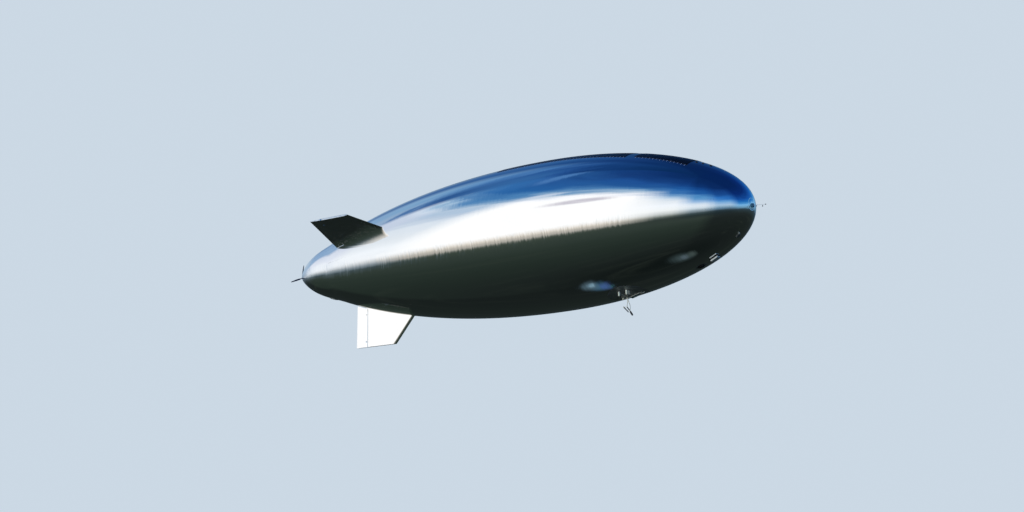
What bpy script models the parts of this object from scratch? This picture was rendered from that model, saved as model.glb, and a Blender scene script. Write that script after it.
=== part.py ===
"""High-altitude solar airship at one half of real size: mirror-film hull, three tail fins with
hinged control surfaces, a steerable stern propeller, crest solar arrays and a belly gondola.
Metres. The origin is on the hull's axis at mid-length; +X to the nose, +Y to port, +Z up."""

import math

import bmesh
import bpy
from mathutils import Vector

# Hull
HULL_LENGTH = 32.5
HULL_RADIUS = 4.6
NOSE_X = HULL_LENGTH / 2
TAIL_X = -HULL_LENGTH / 2
WIDEST_X = 3.12  # where the hull is widest
FORE_POWER = 2.0
FORE_ROOT = 0.5
AFT_POWER = 2.12
AFT_ROOT = 0.751
STERN_FULLNESS = 0.165  # most that the stern's end is fuller than the rest of the outline
STERN_FULL_X = -16.15  # where that starts
STERN_REACH = 3.2
FULLNESS_SCALE = 6.75  # brings the most of share * (1 - share)**2 to 1
SHELL = 0.010  # film and load tapes together
SIDES = 48
FORE_STATIONS = 13
AFT_STATIONS = 22
NOSE_OPENING_R = 0.35
TAIL_OPENING_X = -15.98
SEAT = 0.0003  # gap between pieces that touch

# Nose: the cap's flat face and what it carries lie a little below the hull's axis
NOSE_DROP = 0.085
CAP_EDGE_X = NOSE_X - 0.040
CAP_EDGE_R = 0.3474
CAP_RIM = 0.012
CAP_INNER_R = 0.3274
CAP_DEPTH = 0.045
# radius of each ring of the cap's face, and its share of the drop
CAP_RINGS = ((0.30, 0.25), (0.24, 0.50), (0.19, 0.75), (0.15, 1.00))
DISC_R = 0.13
DISC_LENGTH = 0.085
DISC_CHAMFER = 0.012
PROBE_PLATE_R = 0.05
PROBE_PLATE_T = 0.02
PROBE_R = 0.011
PROBE_LENGTH = 0.87
PROBE_DROOP_DEG = 3.9
PROBE_STRUT_AT = 0.178
PROBE_STRUT_R = 0.034
PROBE_STRUT_DROP = 0.115
PROBE_VANE_AT = 0.618
PROBE_VANE_DROP = 0.092
PROBE_VANE_STEM_R = 0.008
PROBE_HEAD_R = 0.030
PROBE_HEAD_LENGTH = 0.08

# Stern: a fork that holds the propeller motor on an upright pivot
CONE_PLUG_R = 0.365
CONE_PLUG_TAPER = 0.012
CONE_PLUG_DEPTH = 0.06
CONE_END_X = -16.05
FORK_PLATE = 0.012
FORK_PLATE_R = 0.10
FORK_ARM_Z = 0.058  # inner face of each arm
FORK_ARM_T = 0.014
FORK_ARM_W = 0.05
FORK_ARM_BITE = 0.009  # how far an arm goes into the plate
FORK_END_X = -16.202
PIVOT_X = -16.17
PIVOT_PIN_R = 0.010
PIVOT_PIN_END = 0.002  # the pin ends this far inside the arm's outer face
PIVOT_HOLE_R = 0.0105
MOTOR_R = 0.048
MOTOR_FORE = 0.048
MOTOR_AFT = 0.075
MOTOR_YAW_DEG = -28.0  # as photographed; 0 is straight astern
HUB_GAP = 0.005
HUB_R = 0.042
HUB_LENGTH = 0.07
HUB_BITE = 0.02
SPINNER_R = 0.040
SPINNER_TIP_R = 0.012
SPINNER_LENGTH = 0.030
SHAFT_R = 0.012
BLADE_RADIUS = 0.84
BLADE_AZIMUTHS_DEG = (78.2, 198.2, 318.2)
# share of radius, chord, thickness, pitch in degrees
BLADE_SECTIONS = (
    (0.03, 0.030, 0.020, 48.0),
    (0.12, 0.070, 0.018, 42.0),
    (0.30, 0.098, 0.013, 31.0),
    (0.60, 0.082, 0.009, 20.0),
    (0.88, 0.052, 0.006, 13.0),
    (1.00, 0.026, 0.004, 11.0),
)
# share of chord, share of thickness
BLADE_OUTLINE = ((0.5, 0.0), (0.25, 0.42), (-0.1, 0.5), (-0.5, 0.0), (-0.1, -0.3), (0.25, -0.3))

# Tail fins, in each fin's own plane: x along the hull, u outward from its axis
FIN_LE_ROOT_X = -8.05
FIN_LE_TIP = (-9.54, 5.08)
FIN_TE_TIP = (-12.44, 5.00)
FIN_TE_ROOT_X = -12.20
FIN_INNER_U = 2.0
FIN_T_ROOT = 0.155
FIN_T_TIP = 0.125
FIN_NOSE_STRETCH = 1.5
HINGE_ROOT = (-11.48, 2.50)
HINGE_TIP = (-11.68, 5.00)
HINGE_SLOPE = (HINGE_TIP[0] - HINGE_ROOT[0]) / (HINGE_TIP[1] - HINGE_ROOT[1])
HINGE_GAP = 0.030
FLAP_NOSE_R = 0.056
FLAP_NOSE_DEG = 96.0
FLAP_TE_T = 0.022
FLAP_ROOT_CLEAR = 0.058
LUG_U = (2.95, 4.62)
LUG_HALF_U = 0.030
LUG_HALF_T = 0.020
LUG_REACH = 0.030
LUG_BITE = 0.02
LUG_CHAMFER = 0.01
NOTCH_HALF_U = 0.042
NOTCH_DEPTH = 0.075
NOTCH_ROOM = 0.1
PIN_BITE = 0.02
HINGE_PIN_R = 0.010
HINGE_HOLE_R = 0.0105
# name ending, name of the flap, angle of the fin's plane from port seen from astern,
# how much further out its tip is, how much further aft its leading edge is
FINS = (
    ("lower", "rudder_lower", 270.0, -0.06, 0.00),
    ("upper_starboard", "ruddervator_starboard", 150.0, 0.07, 0.04),
    ("upper_port", "ruddervator_port", 30.0, 0.07, 0.04),
)

# Crest solar arrays
ARRAY_T = 0.012
ARRAY_REACH_DEG = 52.5
ARRAY_MARGIN = 1.5  # of hull stations beyond each end, before it is trimmed
# name, aft end, fore end, half width at the aft end, half width at the fore end
ARRAYS = (
    ("solar_array_aft", -0.30, 8.80, 1.85, 1.85),
    ("solar_array_fore", 9.36, 12.85, 1.75, 1.58),
)

# Gondola group under the fore belly
APEX = Vector((7.33, -0.15, -4.475))
APEX_R = 0.035
APEX_HALF = 0.05
TUBE_R = 0.016
TIE_R = 0.011
TIE_SHARE = 0.12  # of the way from the apex to the hull
TIES = ((0, 1), (0, 2), (1, 3), (2, 3))
# where the frame's tubes meet the hull: x, y
FRAME_FEET = ((7.36, -1.16), (7.86, -1.05), (6.72, 0.30), (7.62, 0.36))
FOOT_DROP = 0.022
FRAME_PAD_R = 0.06
FRAME_PAD_IN = 0.10
FRAME_PAD_OUT = 0.022
# name, x, y, radius, top and bottom below the hull's axis
CANISTERS = (
    ("canister_aft", 7.43, -1.30, 0.062, -3.95, -4.49),
    ("canister_mid", 7.90, -1.20, 0.062, -3.92, -4.44),
    ("canister_fore", 8.02, -1.10, 0.050, -3.93, -4.44),
)
POD_CENTRE = Vector((6.99, -0.10, -4.47))
POD_SIZE = Vector((0.11, 0.10, 0.10))
POD_NECK = 0.1
BOOM_FORE = (8.42, 0.05, -4.225)
BOOM_AFT = (7.48, 0.05, -4.44)
BOOM_R = 0.075
LEG_R = 0.013
LEG_NECK_R = 0.03
LEG_NECK_DROP = 0.03
LEG_KNEE = Vector((7.47, -0.15, -4.97))
KNEE_R = 0.017
KNEE_HALF = 0.02
BRACE_R = 0.010
SLEEVE_R = 0.038
SLEEVE_LENGTH = 0.05
SLEEVE_PROUD = 0.012
LOW_SLEEVE_UP = 0.075  # from the fore bar's lower end
BAR_R = 0.026
BAR_SIDES = 12
# fore and aft ends of the two dark bars
BARS = (
    ("skid_bar_aft", Vector((7.00, -0.15, -4.965)), Vector((7.32, -0.15, -5.320))),
    ("skid_bar_fore", Vector((7.23, -0.15, -4.985)), Vector((7.475, -0.15, -5.330))),
)
FOOT_ENDS = (Vector((7.44, -0.15, -5.29)), Vector((7.60, -0.15, -5.560)))
FOOT_R = 0.055

# Fore belly and stern underside: heights are out of the skin
BOX_PLACE = (13.46, -0.02)
BOX_LENGTH = 0.52
BOX_WIDTH = 0.36
BOX_HEIGHT = 0.15
VALVE_PLACE = (12.48, 0.0)
VALVE_R = 0.24
VALVE_HEIGHT = 0.09
EYE_PLACE = (15.23, -0.14)
EYE_SIZE = 0.26
EYE_HEIGHT = 0.03
WINDOW_PLACE = (15.36, -0.24)
WINDOW_SIZE = 0.10
WINDOW_HEIGHT = 0.07
VENT_PLACE = (-13.85, -0.12)
VENT_LENGTH = 0.36
VENT_WIDTH = 0.42
VENT_HEIGHT = 0.03
SUNK = -0.30  # fittings start this far inside the skin, before they are trimmed

# name: colour, roughness, metallic
MATERIALS = {
    "mirror_film": ((0.80, 0.82, 0.84), 0.10, 1.0),
    "fin_film": ((0.82, 0.83, 0.84), 0.15, 1.0),
    "flap_film": ((0.82, 0.83, 0.84), 0.15, 1.0),
    "cap_film": ((0.70, 0.72, 0.74), 0.20, 1.0),
    "solar_cells": ((0.02, 0.03, 0.07), 0.25, 0.0),
    "dark_fitting": ((0.04, 0.05, 0.06), 0.45, 0.2),
    "probe_metal": ((0.25, 0.26, 0.28), 0.35, 1.0),
    "fork_metal": ((0.35, 0.36, 0.38), 0.35, 1.0),
    "motor_shell": ((0.10, 0.11, 0.13), 0.40, 0.3),
    "blade_carbon": ((0.05, 0.07, 0.10), 0.35, 0.0),
    "white_tube": ((0.75, 0.76, 0.74), 0.45, 0.0),
    "white_canister": ((0.72, 0.74, 0.70), 0.40, 0.0),
    "dark_carbon": ((0.05, 0.06, 0.07), 0.45, 0.0),
    "grey_foot": ((0.03, 0.04, 0.05), 0.60, 0.0),
    "pale_housing": ((0.70, 0.72, 0.72), 0.40, 0.0),
    "valve_rubber": ((0.02, 0.02, 0.02), 0.60, 0.0),
}

UP = Vector((0.0, 0.0, 1.0))
PORT = Vector((0.0, 1.0, 0.0))


def clear_scene():
    for item in list(bpy.data.objects):
        bpy.data.objects.remove(item, do_unlink=True)


def material(name):
    made = bpy.data.materials.get(name)
    if made:
        return made
    colour, roughness, metallic = MATERIALS[name]
    made = bpy.data.materials.new(name)
    made.use_nodes = True
    shader = made.node_tree.nodes["Principled BSDF"]
    shader.inputs["Base Color"].default_value = (*colour, 1.0)
    shader.inputs["Roughness"].default_value = roughness
    shader.inputs["Metallic"].default_value = metallic
    return made


def make(name, mesh, slot=None, origin=(0.0, 0.0, 0.0), smooth=False):
    """An object from a bmesh in world places, with its origin moved to the given point."""
    bmesh.ops.remove_doubles(mesh, verts=mesh.verts, dist=1e-6)
    bmesh.ops.recalc_face_normals(mesh, faces=mesh.faces)
    bmesh.ops.translate(mesh, verts=mesh.verts, vec=-Vector(origin))
    for face in mesh.faces:
        face.smooth = smooth
    data = bpy.data.meshes.new(name)
    mesh.to_mesh(data)
    mesh.free()
    item = bpy.data.objects.new(name, data)
    item.location = origin
    bpy.context.scene.collection.objects.link(item)
    if slot:
        data.materials.append(material(slot))
    else:
        item.hide_render = True
        item.display_type = "WIRE"
    return item


def boolean(item, tool, operation):
    step = item.modifiers.new(operation.lower() + "_" + tool.name, "BOOLEAN")
    step.operation = operation
    step.solver = "EXACT"
    step.object = tool
    return item


def cut(item, tool):
    return boolean(item, tool, "DIFFERENCE")


def fuse(item, tool):
    return boolean(item, tool, "UNION")


def ring_faces(mesh, rings, close_ends=True, loop=False):
    """Skin between rings that have equally many corners."""
    rows = [[mesh.verts.new(p) for p in ring] for ring in rings]
    count = len(rows[0])
    pairs = list(zip(rows, rows[1:]))
    if loop:
        pairs.append((rows[-1], rows[0]))
    for a, b in pairs:
        for i in range(count):
            j = (i + 1) % count
            mesh.faces.new((a[i], a[j], b[j], b[i]))
    if close_ends and not loop:
        mesh.faces.new(rows[0])
        mesh.faces.new(list(reversed(rows[-1])))
    return rows


def skinned(rings):
    """Closed solid between rings."""
    mesh = bmesh.new()
    ring_faces(mesh, rings)
    return mesh


def hull_radius(x):
    """Radius of the hull's outline at x."""
    if x >= WIDEST_X:
        share = min((x - WIDEST_X) / (NOSE_X - WIDEST_X), 1.0)
        return HULL_RADIUS * (1.0 - share**FORE_POWER) ** FORE_ROOT
    share = min((WIDEST_X - x) / (WIDEST_X - TAIL_X), 1.0)
    reach = min(max((x - STERN_FULL_X) / STERN_REACH, 0.0), 1.0)
    fuller = STERN_FULLNESS * FULLNESS_SCALE * reach * (1.0 - reach) ** 2
    return HULL_RADIUS * (1.0 - share**AFT_POWER) ** AFT_ROOT + fuller


def nose_face_x(radius):
    """Where the hull's rounded nose has this radius."""
    return WIDEST_X + (NOSE_X - WIDEST_X) * math.sqrt(1.0 - (radius / HULL_RADIUS) ** 2)


def hull_stations():
    """Places along X from the stern opening to the nose opening, closer together at the ends."""
    aft_angle = math.acos((WIDEST_X - TAIL_OPENING_X) / (WIDEST_X - TAIL_X))
    aft = []
    for i in range(AFT_STATIONS):
        turn = aft_angle + (math.pi / 2 - aft_angle) * i / AFT_STATIONS
        aft.append(WIDEST_X - (WIDEST_X - TAIL_X) * math.cos(turn))
    end = math.acos(NOSE_OPENING_R / HULL_RADIUS)
    fore = []
    for i in range(FORE_STATIONS + 1):
        fore.append(WIDEST_X + (NOSE_X - WIDEST_X) * math.sin(end * i / FORE_STATIONS))
    return aft + fore


def hull_normal(x):
    """Outward normal of the outline at x, as (along X, outward)."""
    step = 1e-4
    low = max(x - step, TAIL_X + 1e-6)
    high = min(x + step, NOSE_X - 1e-6)
    slope = (hull_radius(high) - hull_radius(low)) / (high - low)
    size = math.hypot(1.0, slope)
    return -slope / size, 1.0 / size


def hull_under(x, y):
    """Height of the hull's belly at a place in plan."""
    return -math.sqrt(max(hull_radius(x) ** 2 - y * y, 0.0))


def offset_profile(offset):
    points = []
    for x in hull_stations():
        along, outward = hull_normal(x)
        points.append((x + along * offset, hull_radius(x) + outward * offset))
    return points


def ring(x, radius, sides=SIDES, drop=0.0):
    """Circle about the hull's axis, or about a line below it."""
    turn = 2 * math.pi / sides
    return [
        Vector((x, radius * math.cos(i * turn), radius * math.sin(i * turn) - drop))
        for i in range(sides)
    ]


def lathe(profile, sides=SIDES, drop=0.0, loop=False):
    """Solid of revolution about the hull's axis, or about a line below it, from (x, radius)."""
    mesh = bmesh.new()
    ring_faces(mesh, [ring(x, r, sides, drop) for x, r in profile], loop=loop)
    return mesh


def hull_cutter():
    """The hull's solid, larger by the seating gap: what sits on the hull is trimmed with it."""
    profile = [(TAIL_X - 0.02, 0.02), *offset_profile(SEAT), (NOSE_X + 0.002, 0.02)]
    return make("cut_hull", lathe(profile))


def circle(centre, side, other, radius, sides):
    turn = 2 * math.pi / sides
    return [
        centre + side * (radius * math.cos(i * turn)) + other * (radius * math.sin(i * turn))
        for i in range(sides)
    ]


def cylinder(start, end, radius, sides=16, end_radius=None):
    start, end = Vector(start), Vector(end)
    along = (end - start).normalized()
    side = along.orthogonal().normalized()
    other = along.cross(side)
    return skinned([
        circle(start, side, other, radius, sides),
        circle(end, side, other, end_radius or radius, sides),
    ])


def capsule(start, end, radius, sides=16, cap_rings=3):
    """Round-ended rod; start and end are its outermost points."""
    start, end = Vector(start), Vector(end)
    along = (end - start).normalized()
    side = along.orthogonal().normalized()
    other = along.cross(side)
    length = (end - start).length
    places = []
    for i in range(1, cap_rings + 1):
        turn = math.pi / 2 * i / cap_rings
        places.append((radius * (1 - math.cos(turn)), radius * math.sin(turn)))
    places += [(length - along_it, size) for along_it, size in reversed(places)]
    mesh = bmesh.new()
    rings = [circle(start + along * d, side, other, size, sides) for d, size in places]
    rows = ring_faces(mesh, rings, close_ends=False)
    for row, tip in ((rows[0], start), (rows[-1], end)):
        point = mesh.verts.new(tip)
        for i in range(sides):
            mesh.faces.new((row[i], row[(i + 1) % sides], point))
    return mesh


def block(low, high):
    corners = ((low[1], low[2]), (high[1], low[2]), (high[1], high[2]), (low[1], high[2]))
    return skinned([[Vector((x, y, z)) for y, z in corners] for x in (low[0], high[0])])


def joined(name, slot, meshes, origin=(0.0, 0.0, 0.0), smooth=False):
    """One body from overlapping solids: the first takes in each of the others."""
    item = make(name, meshes[0], slot, origin, smooth)
    for i, mesh in enumerate(meshes[1:]):
        fuse(item, make("add_" + name + "_" + str(i), mesh))
    return item


def build_hull():
    outer = offset_profile(0.0)
    inner = offset_profile(-SHELL)
    make("envelope", lathe(outer + inner[::-1], loop=True), "mirror_film", smooth=True)


def build_nose():
    rings = [
        ring(CAP_EDGE_X - CAP_DEPTH, CAP_INNER_R),
        ring(CAP_EDGE_X - CAP_RIM, CAP_EDGE_R),
        ring(CAP_EDGE_X, CAP_EDGE_R),
    ]
    for radius, share in CAP_RINGS:
        rings.append(ring(nose_face_x(radius), radius, SIDES, NOSE_DROP * share))
    make("nose_cap", skinned(rings), "cap_film", smooth=True)

    back_x = nose_face_x(CAP_RINGS[-1][0]) + SEAT
    front_x = back_x + DISC_LENGTH
    disc = [(back_x, DISC_R), (front_x - DISC_CHAMFER, DISC_R), (front_x, DISC_R - DISC_CHAMFER)]
    make("nose_disc", lathe(disc, 24, NOSE_DROP), "dark_fitting", smooth=True)

    base = Vector((front_x + SEAT, 0.0, -NOSE_DROP))
    droop = math.radians(PROBE_DROOP_DEG)
    along = Vector((math.cos(droop), 0.0, -math.sin(droop)))
    strut = base + along * PROBE_STRUT_AT
    vane = base + along * PROBE_VANE_AT
    vane_axis = vane - UP * PROBE_VANE_DROP
    half_head = along * PROBE_HEAD_LENGTH / 2
    tip = base + along * PROBE_LENGTH
    joined("nose_probe", "probe_metal", [
        cylinder(base + along * PROBE_PLATE_T / 2, tip - half_head, PROBE_R, 12),
        cylinder(base, base + Vector((PROBE_PLATE_T, 0.0, 0.0)), PROBE_PLATE_R, 16),
        capsule(strut + UP * PROBE_STRUT_R / 2, strut - UP * PROBE_STRUT_DROP, PROBE_STRUT_R, 12),
        cylinder(vane, vane_axis, PROBE_VANE_STEM_R, 8),
        capsule(vane_axis - half_head, vane_axis + half_head, PROBE_HEAD_R, 12),
        capsule(tip - half_head * 2, tip, PROBE_HEAD_R, 12),
    ])


def astern(yaw_deg):
    """Unit vector along the propeller's axis, away from the hull."""
    turn = math.radians(yaw_deg)
    return Vector((-math.cos(turn), -math.sin(turn), 0.0))


def build_stern():
    edge_x = TAIL_OPENING_X - SEAT
    middle_x = (CONE_END_X + edge_x) / 2
    make("tail_cone", lathe([
        (CONE_END_X, hull_radius(CONE_END_X)),
        (middle_x, hull_radius(middle_x)),
        (edge_x, hull_radius(edge_x)),
        (edge_x, CONE_PLUG_R),
        (edge_x + CONE_PLUG_DEPTH, CONE_PLUG_R - CONE_PLUG_TAPER),
    ]), "cap_film", smooth=True)

    plate_x = CONE_END_X - SEAT
    arm_end_x = plate_x - FORK_PLATE + FORK_ARM_BITE
    outer_z = FORK_ARM_Z + FORK_ARM_T
    half_w = FORK_ARM_W / 2
    fork = joined("tail_fork", "fork_metal", [
        cylinder((plate_x, 0, 0), (plate_x - FORK_PLATE, 0, 0), FORK_PLATE_R, 24),
        block((FORK_END_X, -half_w, FORK_ARM_Z), (arm_end_x, half_w, outer_z)),
        block((FORK_END_X, -half_w, -outer_z), (arm_end_x, half_w, -FORK_ARM_Z)),
    ])
    pivot = Vector((PIVOT_X, 0.0, 0.0))
    hole = cylinder(pivot - UP * outer_z * 2, pivot + UP * outer_z * 2, PIVOT_HOLE_R, 16)
    cut(fork, make("cut_fork_pivot", hole))

    back = astern(MOTOR_YAW_DEG)
    pin = UP * (outer_z - PIVOT_PIN_END)
    joined("tail_motor", "motor_shell", [
        cylinder(pivot - back * MOTOR_FORE, pivot + back * MOTOR_AFT, MOTOR_R, 24),
        cylinder(pivot - pin, pivot + pin, PIVOT_PIN_R, 12),
    ], origin=pivot)

    hub_start = pivot + back * (MOTOR_AFT + HUB_GAP)
    hub_end = hub_start + back * HUB_LENGTH
    centre = (hub_start + hub_end) / 2
    spinner_tip = hub_end + back * SPINNER_LENGTH
    lateral = back.cross(UP)
    meshes = [
        cylinder(hub_start, hub_end, HUB_R, 24),
        cylinder(hub_start - back * (HUB_GAP - SEAT), hub_start + back * HUB_BITE, SHAFT_R, 12),
        cylinder(hub_end - back * HUB_BITE, spinner_tip, SPINNER_R, 24, SPINNER_TIP_R),
    ]
    for azimuth in BLADE_AZIMUTHS_DEG:
        turn = math.radians(azimuth)
        meshes.append(blade(centre, lateral * math.cos(turn) + UP * math.sin(turn), back))
    joined("propeller", "blade_carbon", meshes, origin=centre)


def blade(centre, outward, back):
    """One blade: twisted, tapering sections strung along its radius."""
    across = back.cross(outward).normalized()
    rings = []
    for share, chord, thick, pitch in BLADE_SECTIONS:
        turn = math.radians(pitch)
        run = (across * math.cos(turn) + back * math.sin(turn)) * chord
        rise = (back * math.cos(turn) - across * math.sin(turn)) * thick
        place = centre + outward * (BLADE_RADIUS * share)
        rings.append([place + run * a + rise * b for a, b in BLADE_OUTLINE])
    return skinned(rings)


def fin_le_x(u):
    """Leading edge's place at a distance u from the hull's axis."""
    root_u = hull_radius(FIN_LE_ROOT_X)
    slope = (FIN_LE_TIP[0] - FIN_LE_ROOT_X) / (FIN_LE_TIP[1] - root_u)
    return FIN_LE_ROOT_X + slope * (u - root_u)


def fin_inner_u(x):
    return FIN_INNER_U


def tip_edge(further_out):
    """The tip's edge of a fin, as a function that gives u at x."""
    slope = (FIN_LE_TIP[1] - FIN_TE_TIP[1]) / (FIN_LE_TIP[0] - FIN_TE_TIP[0])

    def tip_u(x):
        return FIN_TE_TIP[1] + further_out + slope * (x - FIN_TE_TIP[0])

    return tip_u


def flap_root_u(x):
    return hull_radius(x) + FLAP_ROOT_CLEAR


def hinge_x(u):
    return HINGE_ROOT[0] + HINGE_SLOPE * (u - HINGE_ROOT[1])


def beside_hinge(ahead, u_of):
    """Where a line parallel to the hinge, this far ahead of it, meets the edge u_of(x)."""
    x = hinge_x(HINGE_ROOT[1])
    for _ in range(12):
        u = u_of(x)
        x = hinge_x(u) + ahead * math.hypot(1.0, HINGE_SLOPE)
    return x, u


def in_fin_plane(angle_deg):
    """Maps (x, across, u) to the ship's axes for a fin at this angle."""
    turn = math.radians(angle_deg)
    outward = Vector((0, math.cos(turn), math.sin(turn)))
    across = outward.cross(Vector((1, 0, 0)))

    def place(x, t, u):
        return Vector((x, 0, 0)) + across * t + outward * u

    return place


def on_hinge(place, u):
    """Maps (ahead of the hinge, across, along it) to the ship's axes, about the hinge at u."""
    centre = place(hinge_x(u), 0, u)
    along = (place(HINGE_SLOPE, 0, 1) - place(0, 0, 0)).normalized()
    across = place(0, 1, 0) - place(0, 0, 0)
    ahead = across.cross(along)
    if ahead.x < 0:
        ahead = -ahead

    def at(forward, t, s):
        return centre + ahead * forward + across * t + along * s

    return at


def fin_section(thick, nose_x, u_of):
    """Round-nosed slab section that ends ahead of the hinge: corners as (x, across, u)."""
    half = thick / 2
    nose = half * FIN_NOSE_STRETCH
    centre_x = nose_x - nose
    rear_x, rear_u = beside_hinge(FLAP_NOSE_R + HINGE_GAP, u_of)
    corners = [(rear_x, half, rear_u)]
    for i in range(9):
        turn = math.pi / 2 - math.pi * i / 8
        x = centre_x + nose * math.cos(turn)
        corners.append((x, half * math.sin(turn), u_of(x)))
    corners.append((rear_x, -half, rear_u))
    return corners


def flap_section(te_x, u_of):
    """Section of a flap, from its trailing edge round its nose at the hinge."""
    te_u = u_of(te_x)
    corners = [(te_x, FLAP_TE_T / 2, te_u)]
    for i in range(7):
        turn = math.radians(FLAP_NOSE_DEG * (1.0 - i / 3))
        x, u = beside_hinge(FLAP_NOSE_R * math.cos(turn), u_of)
        corners.append((x, FLAP_NOSE_R * math.sin(turn), u))
    corners.append((te_x, -FLAP_TE_T / 2, te_u))
    return corners


def lug_mesh(at):
    """Plate on the fin's rear face that holds the flap's pin."""
    root = FLAP_NOSE_R + HINGE_GAP + LUG_BITE
    outline = (
        (root, -LUG_HALF_T), (root, LUG_HALF_T),
        (LUG_CHAMFER - LUG_REACH, LUG_HALF_T), (-LUG_REACH, LUG_HALF_T - LUG_CHAMFER),
        (-LUG_REACH, LUG_CHAMFER - LUG_HALF_T), (LUG_CHAMFER - LUG_REACH, -LUG_HALF_T),
    )
    return skinned([[at(f, t, s) for f, t in outline] for s in (-LUG_HALF_U, LUG_HALF_U)])


def notch_mesh(at):
    """Room in the flap's nose for a lug."""
    outline = (
        (-NOTCH_DEPTH, -NOTCH_ROOM), (NOTCH_ROOM, -NOTCH_ROOM),
        (NOTCH_ROOM, NOTCH_ROOM), (-NOTCH_DEPTH, NOTCH_ROOM),
    )
    return skinned([[at(f, t, s) for f, t in outline] for s in (-NOTCH_HALF_U, NOTCH_HALF_U)])


def build_fin(ending, flap_name, angle, further_out, further_aft, hull):
    place = in_fin_plane(angle)
    tip_u = tip_edge(further_out)
    inner = fin_section(FIN_T_ROOT, fin_le_x(FIN_INNER_U) - further_aft, fin_inner_u)
    outer = fin_section(FIN_T_TIP, fin_le_x(FIN_LE_TIP[1] + further_out) - further_aft, tip_u)
    fin = make("fin_" + ending, skinned([[place(*p) for p in inner], [place(*p) for p in outer]]), "fin_film")
    cut(fin, hull)

    root = flap_section(FIN_TE_ROOT_X, flap_root_u)
    tip = flap_section(FIN_TE_TIP[0], tip_u)
    pivot_u = sum(LUG_U) / len(LUG_U)
    pivot = place(hinge_x(pivot_u), 0, pivot_u)
    flap_mesh = skinned([[place(*p) for p in root], [place(*p) for p in tip]])
    flap = make(flap_name, flap_mesh, "flap_film", origin=pivot)

    reach = NOTCH_HALF_U + PIN_BITE
    for i, u in enumerate(LUG_U):
        at = on_hinge(place, u)
        mark = ending + "_" + str(i)
        fuse(fin, make("add_lug_" + mark, lug_mesh(at)))
        hole = cylinder(at(0, 0, -reach), at(0, 0, reach), HINGE_HOLE_R, 16)
        cut(fin, make("cut_pin_hole_" + mark, hole))
        cut(flap, make("cut_notch_" + mark, notch_mesh(at)))
        pin = cylinder(at(0, 0, -reach), at(0, 0, reach), HINGE_PIN_R, 12)
        fuse(flap, make("add_pin_" + mark, pin))


def build_array(name, aft_x, fore_x, aft_half, fore_half):
    """Curved plate on the crest: a sector of the hull's own facets, trimmed to its plan outline."""
    low = offset_profile(SEAT)
    high = offset_profile(SEAT + ARRAY_T)
    reach = round(ARRAY_REACH_DEG / (360.0 / SIDES))
    top = SIDES // 4
    rings = []
    for (xl, rl), (xh, rh) in zip(low, high):
        if aft_x - ARRAY_MARGIN <= xl <= fore_x + ARRAY_MARGIN:
            under = ring(xl, rl)[top - reach:top + reach + 1]
            over = ring(xh, rh)[top - reach:top + reach + 1]
            rings.append(under + over[::-1])
    mesh = skinned(rings)
    bmesh.ops.recalc_face_normals(mesh, faces=mesh.faces)
    planes = [
        (Vector((aft_x, 0, 0)), Vector((-1, 0, 0))),
        (Vector((fore_x, 0, 0)), Vector((1, 0, 0))),
    ]
    for side in (-1, 1):
        edge_normal = Vector((aft_half - fore_half, side * (fore_x - aft_x), 0)).normalized()
        planes.append((Vector((aft_x, side * aft_half, 0)), edge_normal))
    for point, normal in planes:
        geometry = mesh.verts[:] + mesh.edges[:] + mesh.faces[:]
        result = bmesh.ops.bisect_plane(
            mesh, geom=geometry, dist=1e-6, plane_co=point, plane_no=normal, clear_outer=True
        )
        edges = [e for e in result["geom_cut"] if isinstance(e, bmesh.types.BMEdge)]
        bmesh.ops.holes_fill(mesh, edges=edges, sides=0)
    make(name, mesh, "solar_cells")


def build_gondola(hull):
    tubes = [capsule(APEX + UP * APEX_HALF, APEX - UP * APEX_HALF, APEX_R, 12)]
    for x, y in FRAME_FEET:
        foot = Vector((x, y, hull_under(x, y) - FOOT_DROP))
        tubes.append(cylinder(APEX, foot, TUBE_R, 10))
        tubes.append(cylinder(foot + UP * FRAME_PAD_IN, foot - UP * FRAME_PAD_OUT, FRAME_PAD_R, 16))
    for pair in TIES:
        ends = []
        for i in pair:
            x, y = FRAME_FEET[i]
            ends.append(APEX.lerp(Vector((x, y, hull_under(x, y))), TIE_SHARE))
        tubes.append(cylinder(ends[0], ends[1], TIE_R, 8))
    cut(joined("gondola_frame", "white_tube", tubes), hull)

    for name, x, y, radius, top, low in CANISTERS:
        mesh = capsule((x, y, top), (x, y, low), radius, 16)
        cut(make(name, mesh, "white_canister", smooth=True), hull)
    pod = block(POD_CENTRE - POD_SIZE / 2, POD_CENTRE + POD_SIZE / 2 + UP * POD_NECK)
    cut(make("sensor_pod", pod, "white_canister"), hull)
    boom = capsule(BOOM_FORE, BOOM_AFT, BOOM_R, 16)
    cut(make("keel_boom", boom, "dark_carbon", smooth=True), hull)


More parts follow.
